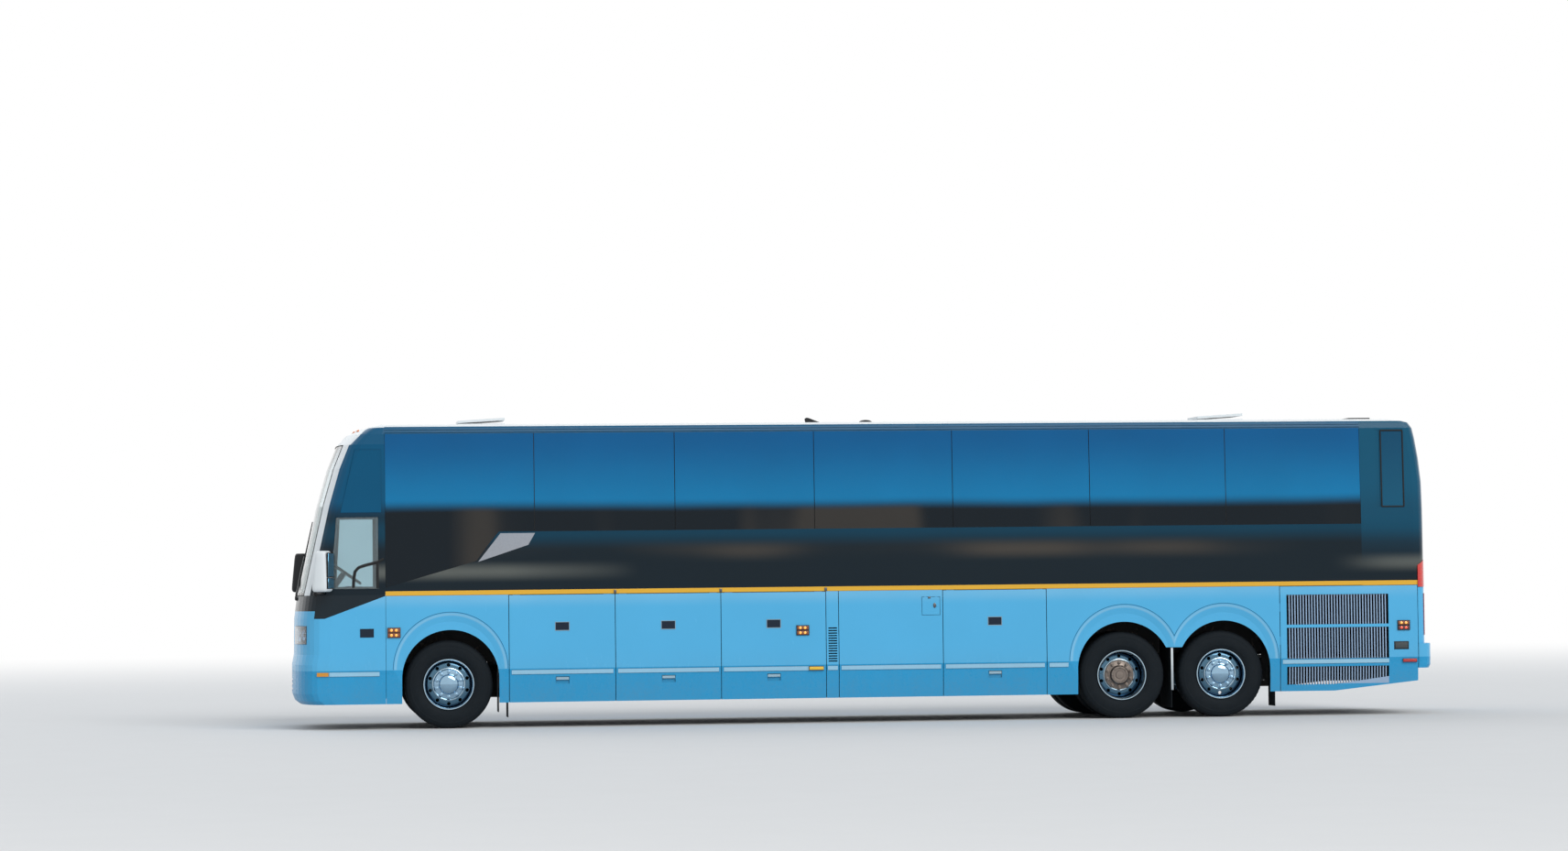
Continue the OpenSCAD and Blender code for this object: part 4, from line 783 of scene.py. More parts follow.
def make_rim(disc):
    """Rim mesh about the origin with ten round hand holes cut through the disc."""
    hole_circle, hole_r = 0.227, 0.0215
    bm, holes = bmesh.new(), bmesh.new()
    add_lathe(bm, rim_profile(disc), 96, Matrix.Identity(4), closed=True)
    bmesh.ops.recalc_face_normals(bm, faces=bm.faces)
    for c, s in around(10, hole_circle):
        bmesh.ops.create_cone(holes, cap_ends=True, segments=28, radius1=hole_r, radius2=hole_r,
            depth=0.12, matrix=moved(s, disc, c) @ rotation(90, "X"))
    made = []
    for name, source in (("rim_raw", bm), ("cutter", holes)):
        mesh = bpy.data.meshes.new(name)
        source.to_mesh(mesh)
        source.free()
        made.append(bpy.data.objects.new(name, mesh))
        bpy.context.scene.collection.objects.link(made[-1])
    rim, cutter = made
    mod = rim.modifiers.new("holes", "BOOLEAN")
    mod.operation = "DIFFERENCE"
    mod.object = cutter
    mod.solver = "EXACT"
    bpy.context.view_layer.update()
    done = bpy.data.meshes.new_from_object(rim.evaluated_get(bpy.context.evaluated_depsgraph_get()))
    bpy.data.objects.remove(rim)
    bpy.data.objects.remove(cutter)
    return done


def add_nuts(bm, count, circle, shift, y, place, radius, height, dome=False):
    """Hexagon nuts on washers round a circle, which point outwards along +Y."""
    rows = [(radius * 1.25, y), (radius * 1.25, y + 0.004), (radius, y + 0.005),
        (radius, y + height * 0.75), (radius * 0.82, y + height)]
    for x, z in around(count, circle, shift):
        rings = []
        for k, (r, along) in enumerate(rows):
            ring = []
            for i, (c, s) in enumerate(around(12, r)):
                f = 0.90 if k in (2, 3) and i % 2 else 1.0
                ring.append(bm.verts.new(place @ Vector((x + f * c, along, z + f * s))))
            rings.append(ring)
        skin(bm, rings)
        if dome:
            tip = bm.verts.new(place @ Vector((x, y + height + 0.004, z)))
            for i in range(12):
                bm.faces.new((rings[-1][i], rings[-1][(i + 1) % 12], tip))
        else:
            bm.faces.new(rings[-1])


def copy_mesh_into(bm, mesh, matrix):
    """Adds a copy of a mesh to bm, placed by matrix."""
    before = len(bm.verts)
    bm.from_mesh(mesh)
    bm.verts.ensure_lookup_table()
    bmesh.ops.transform(bm, matrix=matrix, verts=bm.verts[before:])


def add_hub_cover(bm, kind, place):
    """Domed cover with capped nuts on single wheels, open flange with bolts on twin ones."""
    disc = DISC[kind]
    if kind == "single":
        profile = [(0.174, 0.003), (0.168, 0.010), (0.130, 0.013), (0.117, 0.016), (0.113, 0.024),
            (0.109, 0.044), (0.100, 0.054), (0.080, 0.061), (0.050, 0.0655), (0.0005, 0.067)]
        add_nuts(bm, 10, 0.146, 0.5, disc + 0.011, place, 0.0190, 0.036, True)
    else:
        profile = [(0.176, 0.002), (0.174, 0.010), (0.122, 0.014), (0.112, 0.020), (0.108, 0.048),
            (0.100, 0.055), (0.082, 0.056), (0.078, 0.050), (0.050, 0.049), (0.046, 0.056), (0.0005, 0.057)]
        add_nuts(bm, 10, 0.147, 0.5, disc + 0.011, place, 0.0175, 0.030)
        add_nuts(bm, 8, 0.091, 0.0, disc + 0.054, place, 0.0075, 0.004)
    add_lathe(bm, [(r, disc + y) for r, y in profile], 72 if kind == "single" else 64, place)


def make_wheels():
    rims = {kind: make_rim(disc) for kind, disc in DISC.items()}
    for stem, x, kind in (("front", X_STEER, "single"), ("drive", X_DRIVE, "twin"), ("tag", X_TAG, "single")):
        for side, word in SIDES:
            body = "wheel_%s_%s" % (stem, word)
            disc = DISC[kind]
            place = moved(x, side * TRACK, TYRE_R) @ stretched(1, side, 1)
            tyre, rim, cover, valve = (bmesh.new() for _ in range(4))
            add_tyre(tyre, place)
            copy_mesh_into(rim, rims[kind], place)
            if kind == "twin":
                inward = place @ moved(0, -TWIN, 0)
                add_tyre(tyre, inward)
                hw = TYRE_W / 2
                barrel = [(0.080, hw - 0.060), (0.266, hw - 0.060), (0.266, -0.142), (0.289, -0.140),
                    (0.289, 0.136), (0.278, 0.206), (0.268, 0.206), (0.250, hw - 0.030), (0.080, hw - 0.030)]
                add_lathe(rim, barrel, 64, inward, closed=True)
            add_hub_cover(cover, kind, place)
            bend = [(0.208, 0.002), (0.214, 0.012), (0.224, 0.024)]
            add_tube(valve, [place @ Vector((x, disc + y, 0.020)) for x, y in bend], 0.0042, 10)
            piece(body + "_tyre", tyre, "tyre", 35, body, (body,))
            piece(body + "_rim", rim, "alloy", 40, body)
            look = "chrome" if kind == "single" else "hub_cast"
            piece(body + "_hub_cover", cover, look, 30, body)
            piece(body + "_valve", valve, "dark_metal", 40, body)


# Seats

def pad_block(name, size, cells):
    """Closed block of even cells about the origin, rounded at its corners."""
    bm = bmesh.new()
    made = {}

    def vert(*key):
        if key not in made:
            u, v, w = (2 * k / n - 1 for k, n in zip(key, cells))
            pull = 1 - 0.02 * (abs(u) * abs(v)) ** 2
            flat = 1 - 0.10 * max(abs(u), abs(v)) ** 4
            made[key] = bm.verts.new((u * size[0] / 2 * pull, v * size[1] / 2 * pull, w * size[2] / 2 * flat))
        return made[key]

    nx, ny, nz = cells
    there, back = ((0, 0), (1, 0), (1, 1), (0, 1)), ((0, 0), (0, 1), (1, 1), (1, 0))
    for axis, other, third, ends in ((0, 1, 2, ((nz, there), (0, back))), (0, 2, 1, ((0, there), (ny, back))),
            (1, 2, 0, ((0, back), (nx, there)))):
        for i in range(cells[axis]):
            for j in range(cells[other]):
                for end, corners in ends:
                    face = []
                    for di, dj in corners:
                        key = [0, 0, 0]
                        key[axis], key[other], key[third] = i + di, j + dj, end
                        face.append(vert(*key))
                    bm.faces.new(face)
    bmesh.ops.recalc_face_normals(bm, faces=bm.faces)
    mesh = bpy.data.meshes.new(name)
    bm.to_mesh(mesh)
    bm.free()
    return mesh


def swollen(name, size, cells, cap, pressure=3.0, frames=20):
    """A cushion: a block that a cloth simulation swells by cap at most, then sewn across."""
    quick_share, seam_at, seam_width, seam_depth = 0.8, 0.33, 0.10, 0.10
    mesh = pad_block(name, size, cells)
    rest = [v.co.copy() for v in mesh.vertices]
    obj = bpy.data.objects.new(name, mesh)
    scene = bpy.context.scene
    scene.collection.objects.link(obj)
    cloth = obj.modifiers.new("cloth", "CLOTH")
    cloth.settings.use_pressure = True
    cloth.settings.uniform_pressure_force = pressure
    cloth.settings.effector_weights.gravity = 0
    cloth.settings.quality = 5
    first = scene.frame_current
    for f in range(1, frames + 1):
        scene.frame_set(f)
    mesh = bpy.data.meshes.new_from_object(obj.evaluated_get(bpy.context.evaluated_depsgraph_get()))
    scene.frame_set(first)
    bpy.data.objects.remove(obj)
    for v, r in zip(mesh.vertices, rest):
        move = v.co - r
        v.co = r + move * min(1.0, cap / max(move.length, 1e-9))
    for v in mesh.vertices:
        for seam in (-seam_at, seam_at):
            d = abs(v.co.y / (size[1] / 2) - seam)
            if d < seam_width and abs(v.co.z) > size[2] * 0.3:
                v.co.z *= 1 - seam_depth * (1 - d / seam_width)
    return mesh


def leaning(x, y, z):
    return moved(x, y, z) @ Matrix.Rotation(math.radians(-90) - SEAT_LEAN, 4, "Y")


def add_seat_row(pads, shells, frames, parts, x, side):
    """Two seats side by side on their legs."""
    cushion, back, head = parts
    for k in (0, 1):
        y = side * (HALF - 0.335 - k * 0.45)
        copy_mesh_into(pads, cushion, moved(x - 0.130, y, FLOOR + 0.405) @ rotation(-3, "Y"))
        copy_mesh_into(pads, back, leaning(x - 0.440, y, FLOOR + 0.730))
        copy_mesh_into(pads, head, leaning(x - 0.475, y, FLOOR + 1.000))
        shell = moved(x - 0.490, y, FLOOR + 0.715) @ Matrix.Rotation(-SEAT_LEAN, 4, "Y")
        add_box(shells, (-0.014, -0.212, -0.350), (0.014, 0.212, 0.345), 0.012, 2, shell)
        add_box(shells, (x - 0.330, y - 0.205, FLOOR + 0.325), (x + 0.060, y + 0.205, FLOOR + 0.365), 0.012)
    mid = side * (HALF - 0.560)
    arm = ((-0.440, 0.560), (-0.300, 0.640), (-0.120, 0.650), (-0.040, 0.640))
    for y in (mid - side * 0.448, mid, mid + side * 0.438):
        add_tube(frames, [(x + dx, y, FLOOR + z) for dx, z in arm], 0.017)
    for y in (mid - side * 0.330, mid + side * 0.300):
        for low, high in ((-0.02, -0.10), (-0.30, -0.24)):
            add_tube(frames, [(x + low, y, FLOOR + 0.002), (x + high, y, FLOOR + 0.335)], 0.016)
        low, high = (x - 0.325, y - 0.028, FLOOR + 0.0005), (x + 0.005, y + 0.028, FLOOR + 0.010)
        add_box(frames, low, high, 0.003, 1)
    ends = (mid - side * 0.44, mid + side * 0.43)
    add_tube(frames, [(x - 0.17, y, FLOOR + 0.335) for y in ends], 0.018)


def make_seats():
    parts = (swollen("pad_base", (0.40, 0.42, 0.085), (12, 12, 4), 0.012),
        swollen("pad_back", (0.66, 0.41, 0.075), (16, 12, 4), 0.010),
        swollen("pad_head", (0.15, 0.34, 0.070), (6, 10, 4), 0.008))
    for side, word in SIDES:
        pads, shells, frames = (bmesh.new() for _ in range(3))
        for row in range(SEAT_ROWS):
            add_seat_row(pads, shells, frames, parts, X_POST - 0.660 - row * SEAT_PITCH, side)
        node = "seats_" + word
        obj = piece(node + "_cushions", pads, "seat", 60, replaces=(node,))
        piece(node + "_shells", shells, "trim", 40)
        piece(node + "_frames", frames, "dark_metal", 50)

    # Driver's seat on its pedestal
    cushion, back, head = parts
    x, y, z = X_POST + 0.430, 0.640, PLATFORM
    pads, bm = bmesh.new(), bmesh.new()
    base = moved(x - 0.160, y, z + 0.455) @ rotation(-3, "Y")
    copy_mesh_into(pads, cushion, base @ stretched(1.12, 1.1, 1.2))
    copy_mesh_into(pads, back, leaning(x - 0.465, y, z + 0.790) @ stretched(1.0, 1.1, 1.1))
    copy_mesh_into(pads, head, leaning(x - 0.545, y, z + 1.165) @ stretched(1, 0.85, 1))
    obj = piece("driver_seat_cushions", pads, "seat", 60, replaces=("driver_seat",))
    shell = moved(x - 0.520, y, z + 0.780) @ Matrix.Rotation(-SEAT_LEAN, 4, "Y")
    add_box(bm, (-0.020, -0.225, -0.360), (0.020, 0.225, 0.440), 0.018, 3, shell)
    add_box(bm, (x - 0.400, y - 0.220, z + 0.360), (x + 0.040, y + 0.220, z + 0.405), 0.015)
    pedestal = [(0.0005, 0.012), (0.190, 0.010), (0.195, 0.0), (0.150, 0.030), (0.120, 0.090),
        (0.115, 0.240), (0.150, 0.300), (0.170, 0.355), (0.0005, 0.357)]
    add_lathe(bm, pedestal, 40, moved(x - 0.170, y, z + 0.001) @ rotation(90, "X"))
    piece("driver_seat_base", bm, "trim", 40)


# Small things on the outside

def boxes(items, matrix=None):
    """A mesh of boxes, each given as low corner, high corner, bevel and segments."""
    bm = bmesh.new()
    for lo, hi, bevel, segments in items:
        add_box(bm, lo, hi, bevel, segments, matrix)
    return bm


def make_lamps():
    """Lenses of the double lamps, the side markers and the clearance lamps."""
    doubles = (("luggage_door_%s_3", X_LAMPS + 0.279, 1.098, "amber", "amber"),
        ("coach", X_STEER + 0.638, 1.1265, "amber", "amber"),
        ("grille_door_%s", X_CORNER + 0.180, 1.071, "amber", "red"))
    markers = (("luggage_door_%s_3", X_LAMPS + 0.122, "yellow", "lamp_amber"),
        ("grille_door_%s", X_CORNER + 0.110, "red", "lamp_red"))
    out = HALF + LAMP_GAP
    eye = [(0.0165, out + 0.004), (0.0155, out + 0.0075), (0.010, out + 0.010), (0.0004, out + 0.011)]
    for side, word in SIDES:
        flip = stretched(1, side, 1)
        for stem, x, z, *tones in doubles:
            body = stem % word if "%" in stem else stem
            tag = "%s_%s" % (stem.replace("_%s", ""), word)
            for k, (tone, zc) in enumerate(zip(tones, (z + 0.029, z - 0.029))):
                eyes = bmesh.new()
                for dx in (-0.026, 0.030):
                    add_lathe(eyes, eye, 20, flip @ moved(x + dx, 0, zc))
                low, high = (x - 0.069, out - 0.004, zc - 0.022), (x + 0.069, out + 0.006, zc + 0.022)
                housing = boxes([(low, high, 0.005, 3)], flip)
                slot = "lamp_" + tone
                piece("lamp_lens_%s_%d" % (tag, k), housing, tone + "_dark", 35, body)
                piece("lamp_eye_%s_%d" % (tag, k), eyes, tone + "_bright", 35, body)
    low, high = MARKER_Z - 0.019, MARKER_Z + 0.019
    for side, word in SIDES:
        for stem, x, tone, slot in markers:
            tag = "%s_%s" % (stem.replace("_%s", ""), word)
            box = ((x - 0.084, out - 0.004, low), (x + 0.084, out + 0.005, high), 0.006, 3)
            piece("marker_" + tag, boxes([box], stretched(1, side, 1)), tone, 35, stem % word)
    for k, angle in enumerate((-34, -9, 0, 9, 34)):
        for tail, name, z, tone in ((False, "front", 3.497, "amber"), (True, "rear", 3.470, "red")):
            p = end_point(z, angle, 0.0, tail)
            along = (end_point(z, angle + 0.5, 0.0, tail) - p).normalized()
            out = along.cross(end_point(z + 0.02, angle, 0.0, tail) - p).normalized()
            if (out.x > 0) == tail:
                out = -out
            box = ((-0.050, -0.003, -0.014), (0.050, 0.016, 0.014), 0.006, 3)
            bm = boxes([box], frame_at(p, along, out, out.cross(along)))
            piece("clearance_%s_%d" % (name, k), bm, tone, 40)


def end_seal(name, low, high, count, radius, inset, tail=False):
    """Seal round the wide glass of an end."""
    bm = bmesh.new()
    for edge in (SCREEN_EDGE, -SCREEN_EDGE):
        add_tube(bm, [end_point(z, edge, inset, tail) for z in between(low, high, count)], radius, 6)
    for z in (low, high):
        angles = range(-SCREEN_EDGE, SCREEN_EDGE + 1, 3)
        add_tube(bm, [end_point(z, a, inset, tail) for a in angles], radius, 6)
    piece(name, bm, "seal", 60)


def make_headlamp(side, word):
    """Lens, backing, and three bowls with their bulbs."""
    for name, first, last, inset, rows, thickness, look in (("lens", 20.2, 57.8, 0.0, 7, 0.006, "clear"),
            ("back", 20.5, 57.5, 0.034, 3, 0.004, "trim")):
        bm = bmesh.new()
        grid = [[end_point(z, side * a, inset) for a in between(first, last, 16)]
            for z in between(*HEADLAMP_Z, rows)]
        add_plate(bm, grid, thickness * side)
        node = ("headlamps",) if name == "lens" and side > 0 else ()
        piece("headlamp_%s_%s" % (name, word), bm, look, 60, replaces=node)
    bowl = ((1.0, 0.018), (0.97, 0.019), (0.93, 0.016), (0.75, 0.006), (0.45, 0.001), (0.30, 0.0))
    bulb = ((0.30, 0.0), (0.32, 0.010), (0.27, 0.0165), (0.15, 0.0195))
    bowls, bulbs = bmesh.new(), bmesh.new()
    up = Vector((0, 0, 1))
    for angle, radius in ((27, 0.078), (38, 0.078), (50, 0.060)):
        p, q = (end_point(BULB_Z, side * a, 0.030) for a in (angle, angle + 1))
        along = (q - p).normalized()
        out = up.cross(along)
        if out.x < 0:
            out = -out
        place = frame_at(p, along, out, up)
        add_lathe(bowls, [(radius * r, y) for r, y in bowl], 40, place)
        add_lathe(bulbs, [(radius * r, y) for r, y in bulb] + [(0.0004, 0.0205)], 28, place)
    piece("headlamp_bowls_" + word, bowls, "chrome", 50)
    piece("headlamp_bulbs_" + word, bulbs, "clear", 50)


def make_wiper(name, foot, tip):
    """An arm and a blade that follow the screen. foot and tip are directions in degrees."""
    foot_z, tip_z, share = 1.60, 2.12, 0.84
    mid_a, mid_z = foot + (tip - foot) * share, foot_z + (tip_z - foot_z) * share
    base = end_point(1.540, foot, -0.004)
    low, high = end_point(foot_z, foot, -0.020), end_point(mid_z, mid_a, -0.012)
    arm = [base + Vector((0.012, 0, 0))]
    for t in (0.0, 0.15, 0.4, 0.7, 1.0):
        p = low.lerp(high, t)
        angle = math.degrees(math.asin(min(1.0, abs(p.y) / half_at(p.z)) ** 1.5))
        arm.append(Vector((max(end_point(p.z, angle, -0.016).x, p.x), p.y, p.z)))
    shares = (-1, -0.66, -0.33, 0, 0.33, 0.66, 1)
    blade = [end_point(mid_z + s * 0.42, mid_a - s * 2.0, -0.009) for s in shares]
    boss = [(0.0005, -0.004), (0.030, -0.004), (0.030, 0.010), (0.022, 0.020), (0.0005, 0.022)]
    bm = bmesh.new()
    add_tube(bm, arm, 0.009)
    add_tube(bm, blade, 0.0075, 6)
    add_lathe(bm, boss, 24, moved(*base) @ rotation(-90, "Z"))
    piece(name, bm, "trim", 50)


def make_front():
    for side, word in SIDES:
        make_headlamp(side, word)
    make_wiper("wiper_0", -9.0, -34.0)
    make_wiper("wiper_1", 14.0, -13.0)
    end_seal("screen_seal", SCREEN_Z, SCREEN_TOP, 24, 0.0055, -0.0005)


def make_side(side, word):
    """Clips, roof gutter, pane seals, radiator, guard edge, corner plate and mirror of one side."""
    flip = stretched(1, side, 1)
    seams = [X_BAY - n * DOOR_PITCH for n in (1, 2, 3)]
    clips = [((x - 0.016, HALF - 0.001, 1.560), (x + 0.016, HALF + 0.008, 1.600), 0.004, 2) for x in seams]
    piece("seam_clips_" + word, boxes(clips, flip), "dark_metal", 40)
    gutter, seals = bmesh.new(), bmesh.new()
    for z, radius in ((HEADER + 0.012, 0.0065), (HEADER + 0.044, 0.004)):
        y = side * (half_at(z) + 0.0005)
        add_tube(gutter, [(x, y, z) for x in between(X_WINDOW_END, X_POST, 60)], radius)
    piece("gutter_" + word, gutter, "gutter_blue", 60)
    for i in range(PANES + 1):
        x = X_WINDOW - i * PANE_PITCH
        add_tube(seals, [(x, side * (half_at(z) - 0.004), z) for z in between(SILL, HEADER, 8)], 0.0038, 6)
    piece("pane_seals_" + word, seals, "seal", 60)
    for k, (low, high) in enumerate(((0.700, 1.445), (0.412, 0.640))):
        core = ((X_CORNER + 0.340, 1.150, low), (X_ARCH_END - 0.060, 1.192, high), 0.004, 1)
        piece("radiator_core_%s_%d" % (word, k), boxes([core], flip), "core", 30)
    bars = [((X_CORNER + 0.320, 1.120, z - 0.018), (X_ARCH_END - 0.045, 1.200, z + 0.018), 0.005, 2)
        for z in (0.676, 1.452)]
    bars += [((x - 0.018, 1.120, 0.660), (x + 0.018, 1.200, 1.470), 0.005, 2)
        for x in (X_CORNER + 0.330, X_ARCH_END - 0.055)]
    piece("radiator_frame_" + word, boxes(bars, flip), "dark_metal", 40)
    x = (X_DRIVE + X_TAG) / 2
    edge = ((x - 0.014, HALF - 0.062, 0.330), (x + 0.014, HALF - 0.054, 0.900), 0.003, 2)
    piece("guard_edge_" + word, boxes([edge], flip), "lip", 40)
    x, z = X_CORNER + 0.210, 0.829
    for name, dx, dz, low, high, bevel, look in (("_frame", 0.090, 0.048, -0.001, 0.004, 0.004, "trim"),
            ("", 0.076, 0.034, 0.002, 0.0055, 0.003, "plate_grey")):
        plate = ((x - dx, HALF + low, z - dz), (x + dx, HALF + high, z + dz), bevel, 2)
        body = "grille_door_" + word
        piece("corner_plate%s_%s" % (name, word), boxes([plate], flip), look, 40, body)
    make_mirror(side, word, flip)


def make_side_details():
    for side, word in SIDES:
        make_side(side, word)
    # Black surround of the small sliding pane, at the driver's place
    bm = bmesh.new()
    for points in ([(5.790, 1.990), (5.870, 1.950), (6.010, 1.915), (6.085, 1.890), (6.125, 1.845),
            (6.140, 1.760), (6.146, 1.655)], [(5.865, 1.650), (5.865, 1.950)]):
        add_tube(bm, [(x, half_at(z) - 0.012, z) for x, z in points], 0.0200, 10)
    piece("sliding_pane_frame", bm, "seal", 50)
    bm = boxes([((-0.662, HALF - 0.001, 1.455), (-0.632, HALF + 0.005, 1.478), 0.003, 2)])
    knob = [(0.020, HALF - 0.002), (0.020, HALF + 0.003), (0.014, HALF + 0.006), (0.0004, HALF + 0.007)]
    add_lathe(bm, knob, 28, moved(-0.710, 0, 1.373) @ stretched(0.9, 1, 1.5))
    piece("fuel_flap_latch", bm, "dark_metal", 40, "fuel_flap")


def rounded(c):
    """Squares a circle's cosine or sine, for a section with round corners."""
    return math.copysign(abs(c) ** 0.55, c)


def make_mirror(side, word, flip):
    """A rounded mirror housing on its arm, with a black surround and two glasses behind."""
    left = side > 0
    x, y, z, tall, toed = X_FRONT - (0.350 if left else 0.120), HALF + 0.118, 1.612, 0.476, 24
    turn = flip @ moved(x, y, 0) @ rotation(-toed * side, "Z") @ moved(-x, -y, 0)
    sections = ((0.0, 0.72), (0.012, 0.84), (0.035, 0.93), (0.075, 0.985), (0.14, 1.0), (0.50, 0.97),
        (0.84, 0.92), (0.93, 0.89), (0.97, 0.83), (0.992, 0.74), (1.0, 0.62))
    bm, arm, rim, panes = (bmesh.new() for _ in range(4))
    rings = []
    for t, s in sections:
        middle, depth, width = x - 0.004 - 0.012 * t, (0.108 - 0.028 * t) * s, 0.1115 * s
        loop = [(rounded(c) * depth, rounded(d) * width) for c, d in around(36, 1.0)]
        points = [(middle + dx, y + dy, z + tall * t) for dx, dy in loop]
        rings.append([bm.verts.new(turn @ Vector(p)) for p in points])
    skin(bm, rings)
    cap_ends(bm, rings)
    look, node = ("mirror_white", ("mirrors",)) if left else ("trim", ())
    piece("mirror_housing_" + word, bm, look, 40, replaces=node)
    root = end_point(1.590, 70.0, 0.004)
    points = (root, (x - 0.02, HALF + 0.060, 1.596), (x - 0.01, y, 1.600), (x - 0.01, y, 1.640))
    add_tube(arm, [flip @ Vector(p) for p in points], 0.0185, 12)
    foot = [(0.0004, 0.014), (0.034, 0.010), (0.040, -0.006), (0.0004, -0.006)]
    add_lathe(arm, foot, 24, flip @ moved(*root))
    piece("mirror_arm_" + word, arm, "trim", 50)
    for low, high in ((0.175, 0.450), (0.040, 0.158)):
        hz = (high - low) / 2
        place = turn @ moved(x - 0.104, y, z + (low + high) / 2)
        add_box(rim, (-0.010, -0.088, -hz - 0.006), (0.010, 0.088, hz + 0.006), 0.008, 3, place)
        add_box(panes, (-0.0125, -0.078, -hz + 0.002), (-0.006, 0.078, hz - 0.002), 0.002, 1, place)
    piece("mirror_surround_" + word, rim, "trim", 40)
    piece("mirror_glass_" + word, panes, "mirror", 40)


def make_entry():
    """Window seal and pull handle of the entrance door."""
    bm = bmesh.new()
    corners = [(5.860, 1.660), (6.320, 1.660), (6.270, 2.560), (5.860, 2.560)]
    add_frame(bm, corners, 6, 0.006, 6, lambda x, z: (x, -side_depth(x, z) - 0.0005, z))
    piece("entry_window_seal", bm, "seal", 60, "entry_door")
    y = -side_depth(5.90, 1.20)
    bm = boxes([((5.855, y - 0.014, 1.180), (5.965, y + 0.002, 1.215), 0.006, 3)])
    grip = ((5.870, -0.004, 1.150), (5.870, -0.020, 1.140), (5.950, -0.020, 1.140), (5.950, -0.004, 1.150))
    add_tube(bm, [(x, y + dy, z) for x, dy, z in grip], 0.006)
    piece("entry_handle", bm, "dark_metal", 40, "entry_door")


def make_rear():
    """Seals, stop lamp, latches and the dark backing of the engine door's louvres."""
    end_seal("rear_glass_seal", REAR_GLASS_Z, REAR_GLASS_TOP, 20, 0.007, 0.0, True)
    for side, word in SIDES:
        bm = bmesh.new()
        corners = [(-6.453, 2.500), (-6.181, 2.500), (-6.181, 3.417), (-6.453, 3.417)]
        add_frame(bm, corners, 8, 0.0095, 8, lambda x, z: (x, side * (half_at(z) - 0.001), z))
        piece("rear_pane_frame_" + word, bm, "seal", 60)
    bm = bmesh.new()
    for z in (3.395, 3.420):
        add_tube(bm, [end_point(z, a, -0.004, True) for a in range(-14, 15, 2)], 0.013)
    piece("stop_lamp", bm, "red_bright", 60)
    bm = boxes([((X_REAR + 0.101, -0.710, 1.085), (X_REAR + 0.108, 0.710, 1.505), 0.002, 1)])
    piece("engine_door_mesh", bm, "core", 30, "engine_door")
    bm = bmesh.new()
    for y in (-0.62, 0.62):
        add_lathe(bm, [(0.030, 0.0), (0.030, 0.008), (0.024, 0.013), (0.0004, 0.014)], 28,
            moved(X_REAR + 0.072, y, 0.955) @ rotation(90, "Z"))
        add_box(bm, (X_REAR + 0.052, y - 0.008, 0.932), (X_REAR + 0.064, y + 0.008, 0.978), 0.003)
    piece("engine_door_latches", bm, "dark_metal", 40, "engine_door")


def make_roof():
    """Dome and antenna on the roof."""
    bm = bmesh.new()
    dome = [(0.085, -0.002), (0.084, 0.010), (0.070, 0.026), (0.045, 0.038), (0.0005, 0.042)]
    add_lathe(bm, dome, 36, moved(-0.05, 0.30, roof_height(0.30)) @ rotation(90, "X"))
    piece("roof_dome", bm, "trim", 40)
    bm = bmesh.new()
    z = roof_height(0.0)
    outline = ((0.400, -0.001), (0.640, -0.001), (0.655, 0.072), (0.630, 0.086), (0.600, 0.080))
    sides = [[bm.verts.new((x, y, z + dz)) for x, dz in outline] for y in (-0.013, 0.013)]
    skin(bm, sides)
    cap_ends(bm, sides)
    bmesh.ops.bevel(bm, geom=list(bm.edges), offset=0.004, segments=2, affect="EDGES")
    piece("roof_antenna", bm, "trim", 40)


def make_materials():
    return {
        "tyre": rubber("tyre_rubber_worn"),
        "alloy": wheel_alloy(),
        "lip": metal("polished_lip", (0.62, 0.68, 0.72), 0.10),
        # The chrome's blue colour is a painted reflection of the sky
        "chrome": metal("chrome", (0.30, 0.46, 0.60), 0.05, 0.05),
        "hub_cast": metal("hub_casting", (0.20, 0.17, 0.15), 0.34),
        "core": radiator_core(),
        "dark_metal": metal("dark_metal", (0.12, 0.125, 0.13), 0.35),
        "trim": plastic("black_trim", (0.014, 0.015, 0.017), 0.45),
        "seal": plastic("window_rubber", (0.010, 0.011, 0.012), 0.6, 0.1, 300.0),
        "plate_grey": plastic("plate_grey", (0.055, 0.065, 0.070), 0.35),
        "seat": fabric("seat_cloth", (0.040, 0.060, 0.130), (0.160, 0.200, 0.320)),
        "amber": lens("amber_lens", (0.62, 0.15, 0.012)),
        "amber_dark": lens("amber_dark_lens", (0.220, 0.052, 0.010)),
        "amber_bright": lens("amber_eye", (0.95, 0.42, 0.06), 90.0, 0.5),
        "yellow": lens("yellow_lens", (0.780, 0.470, 0.020)),
        "red": lens("red_lens", RED),
        "red_dark": lens("red_dark_lens", (0.100, 0.010, 0.008)),
        "red_bright": lens("red_eye", (0.85, 0.10, 0.05), 90.0, 0.4),
        "clear": clear_lens(),
        "gutter_blue": plastic("gutter_blue", (0.001, 0.060, 0.130), 0.5, 0.1, 300.0),
        "mirror": metal("mirror_glass", (0.20, 0.50, 0.74), 0.03, 0.02),
        "mirror_white": white_paint("mirror_housing"),
    }


# Finish of the CAD nodes

def front_black(n):
    """Black base round the front, whose edge falls towards the corner and climbs again behind it."""
    edge = n.sub(STRIPE, n.mul(n.sub(n.x, X_POST), 0.366))
    behind = n.step(n.x, X_POST + 0.002, X_POST + 0.004)
    return n.mul(n.step(n.sub(n.z, edge), 0.0, 0.002), behind, n.step(n.z, 1.296, 1.299))


def gold_band(n):
    return n.within(n.z, STRIPE - 0.01, STRIPE_TOP, 0.0006)


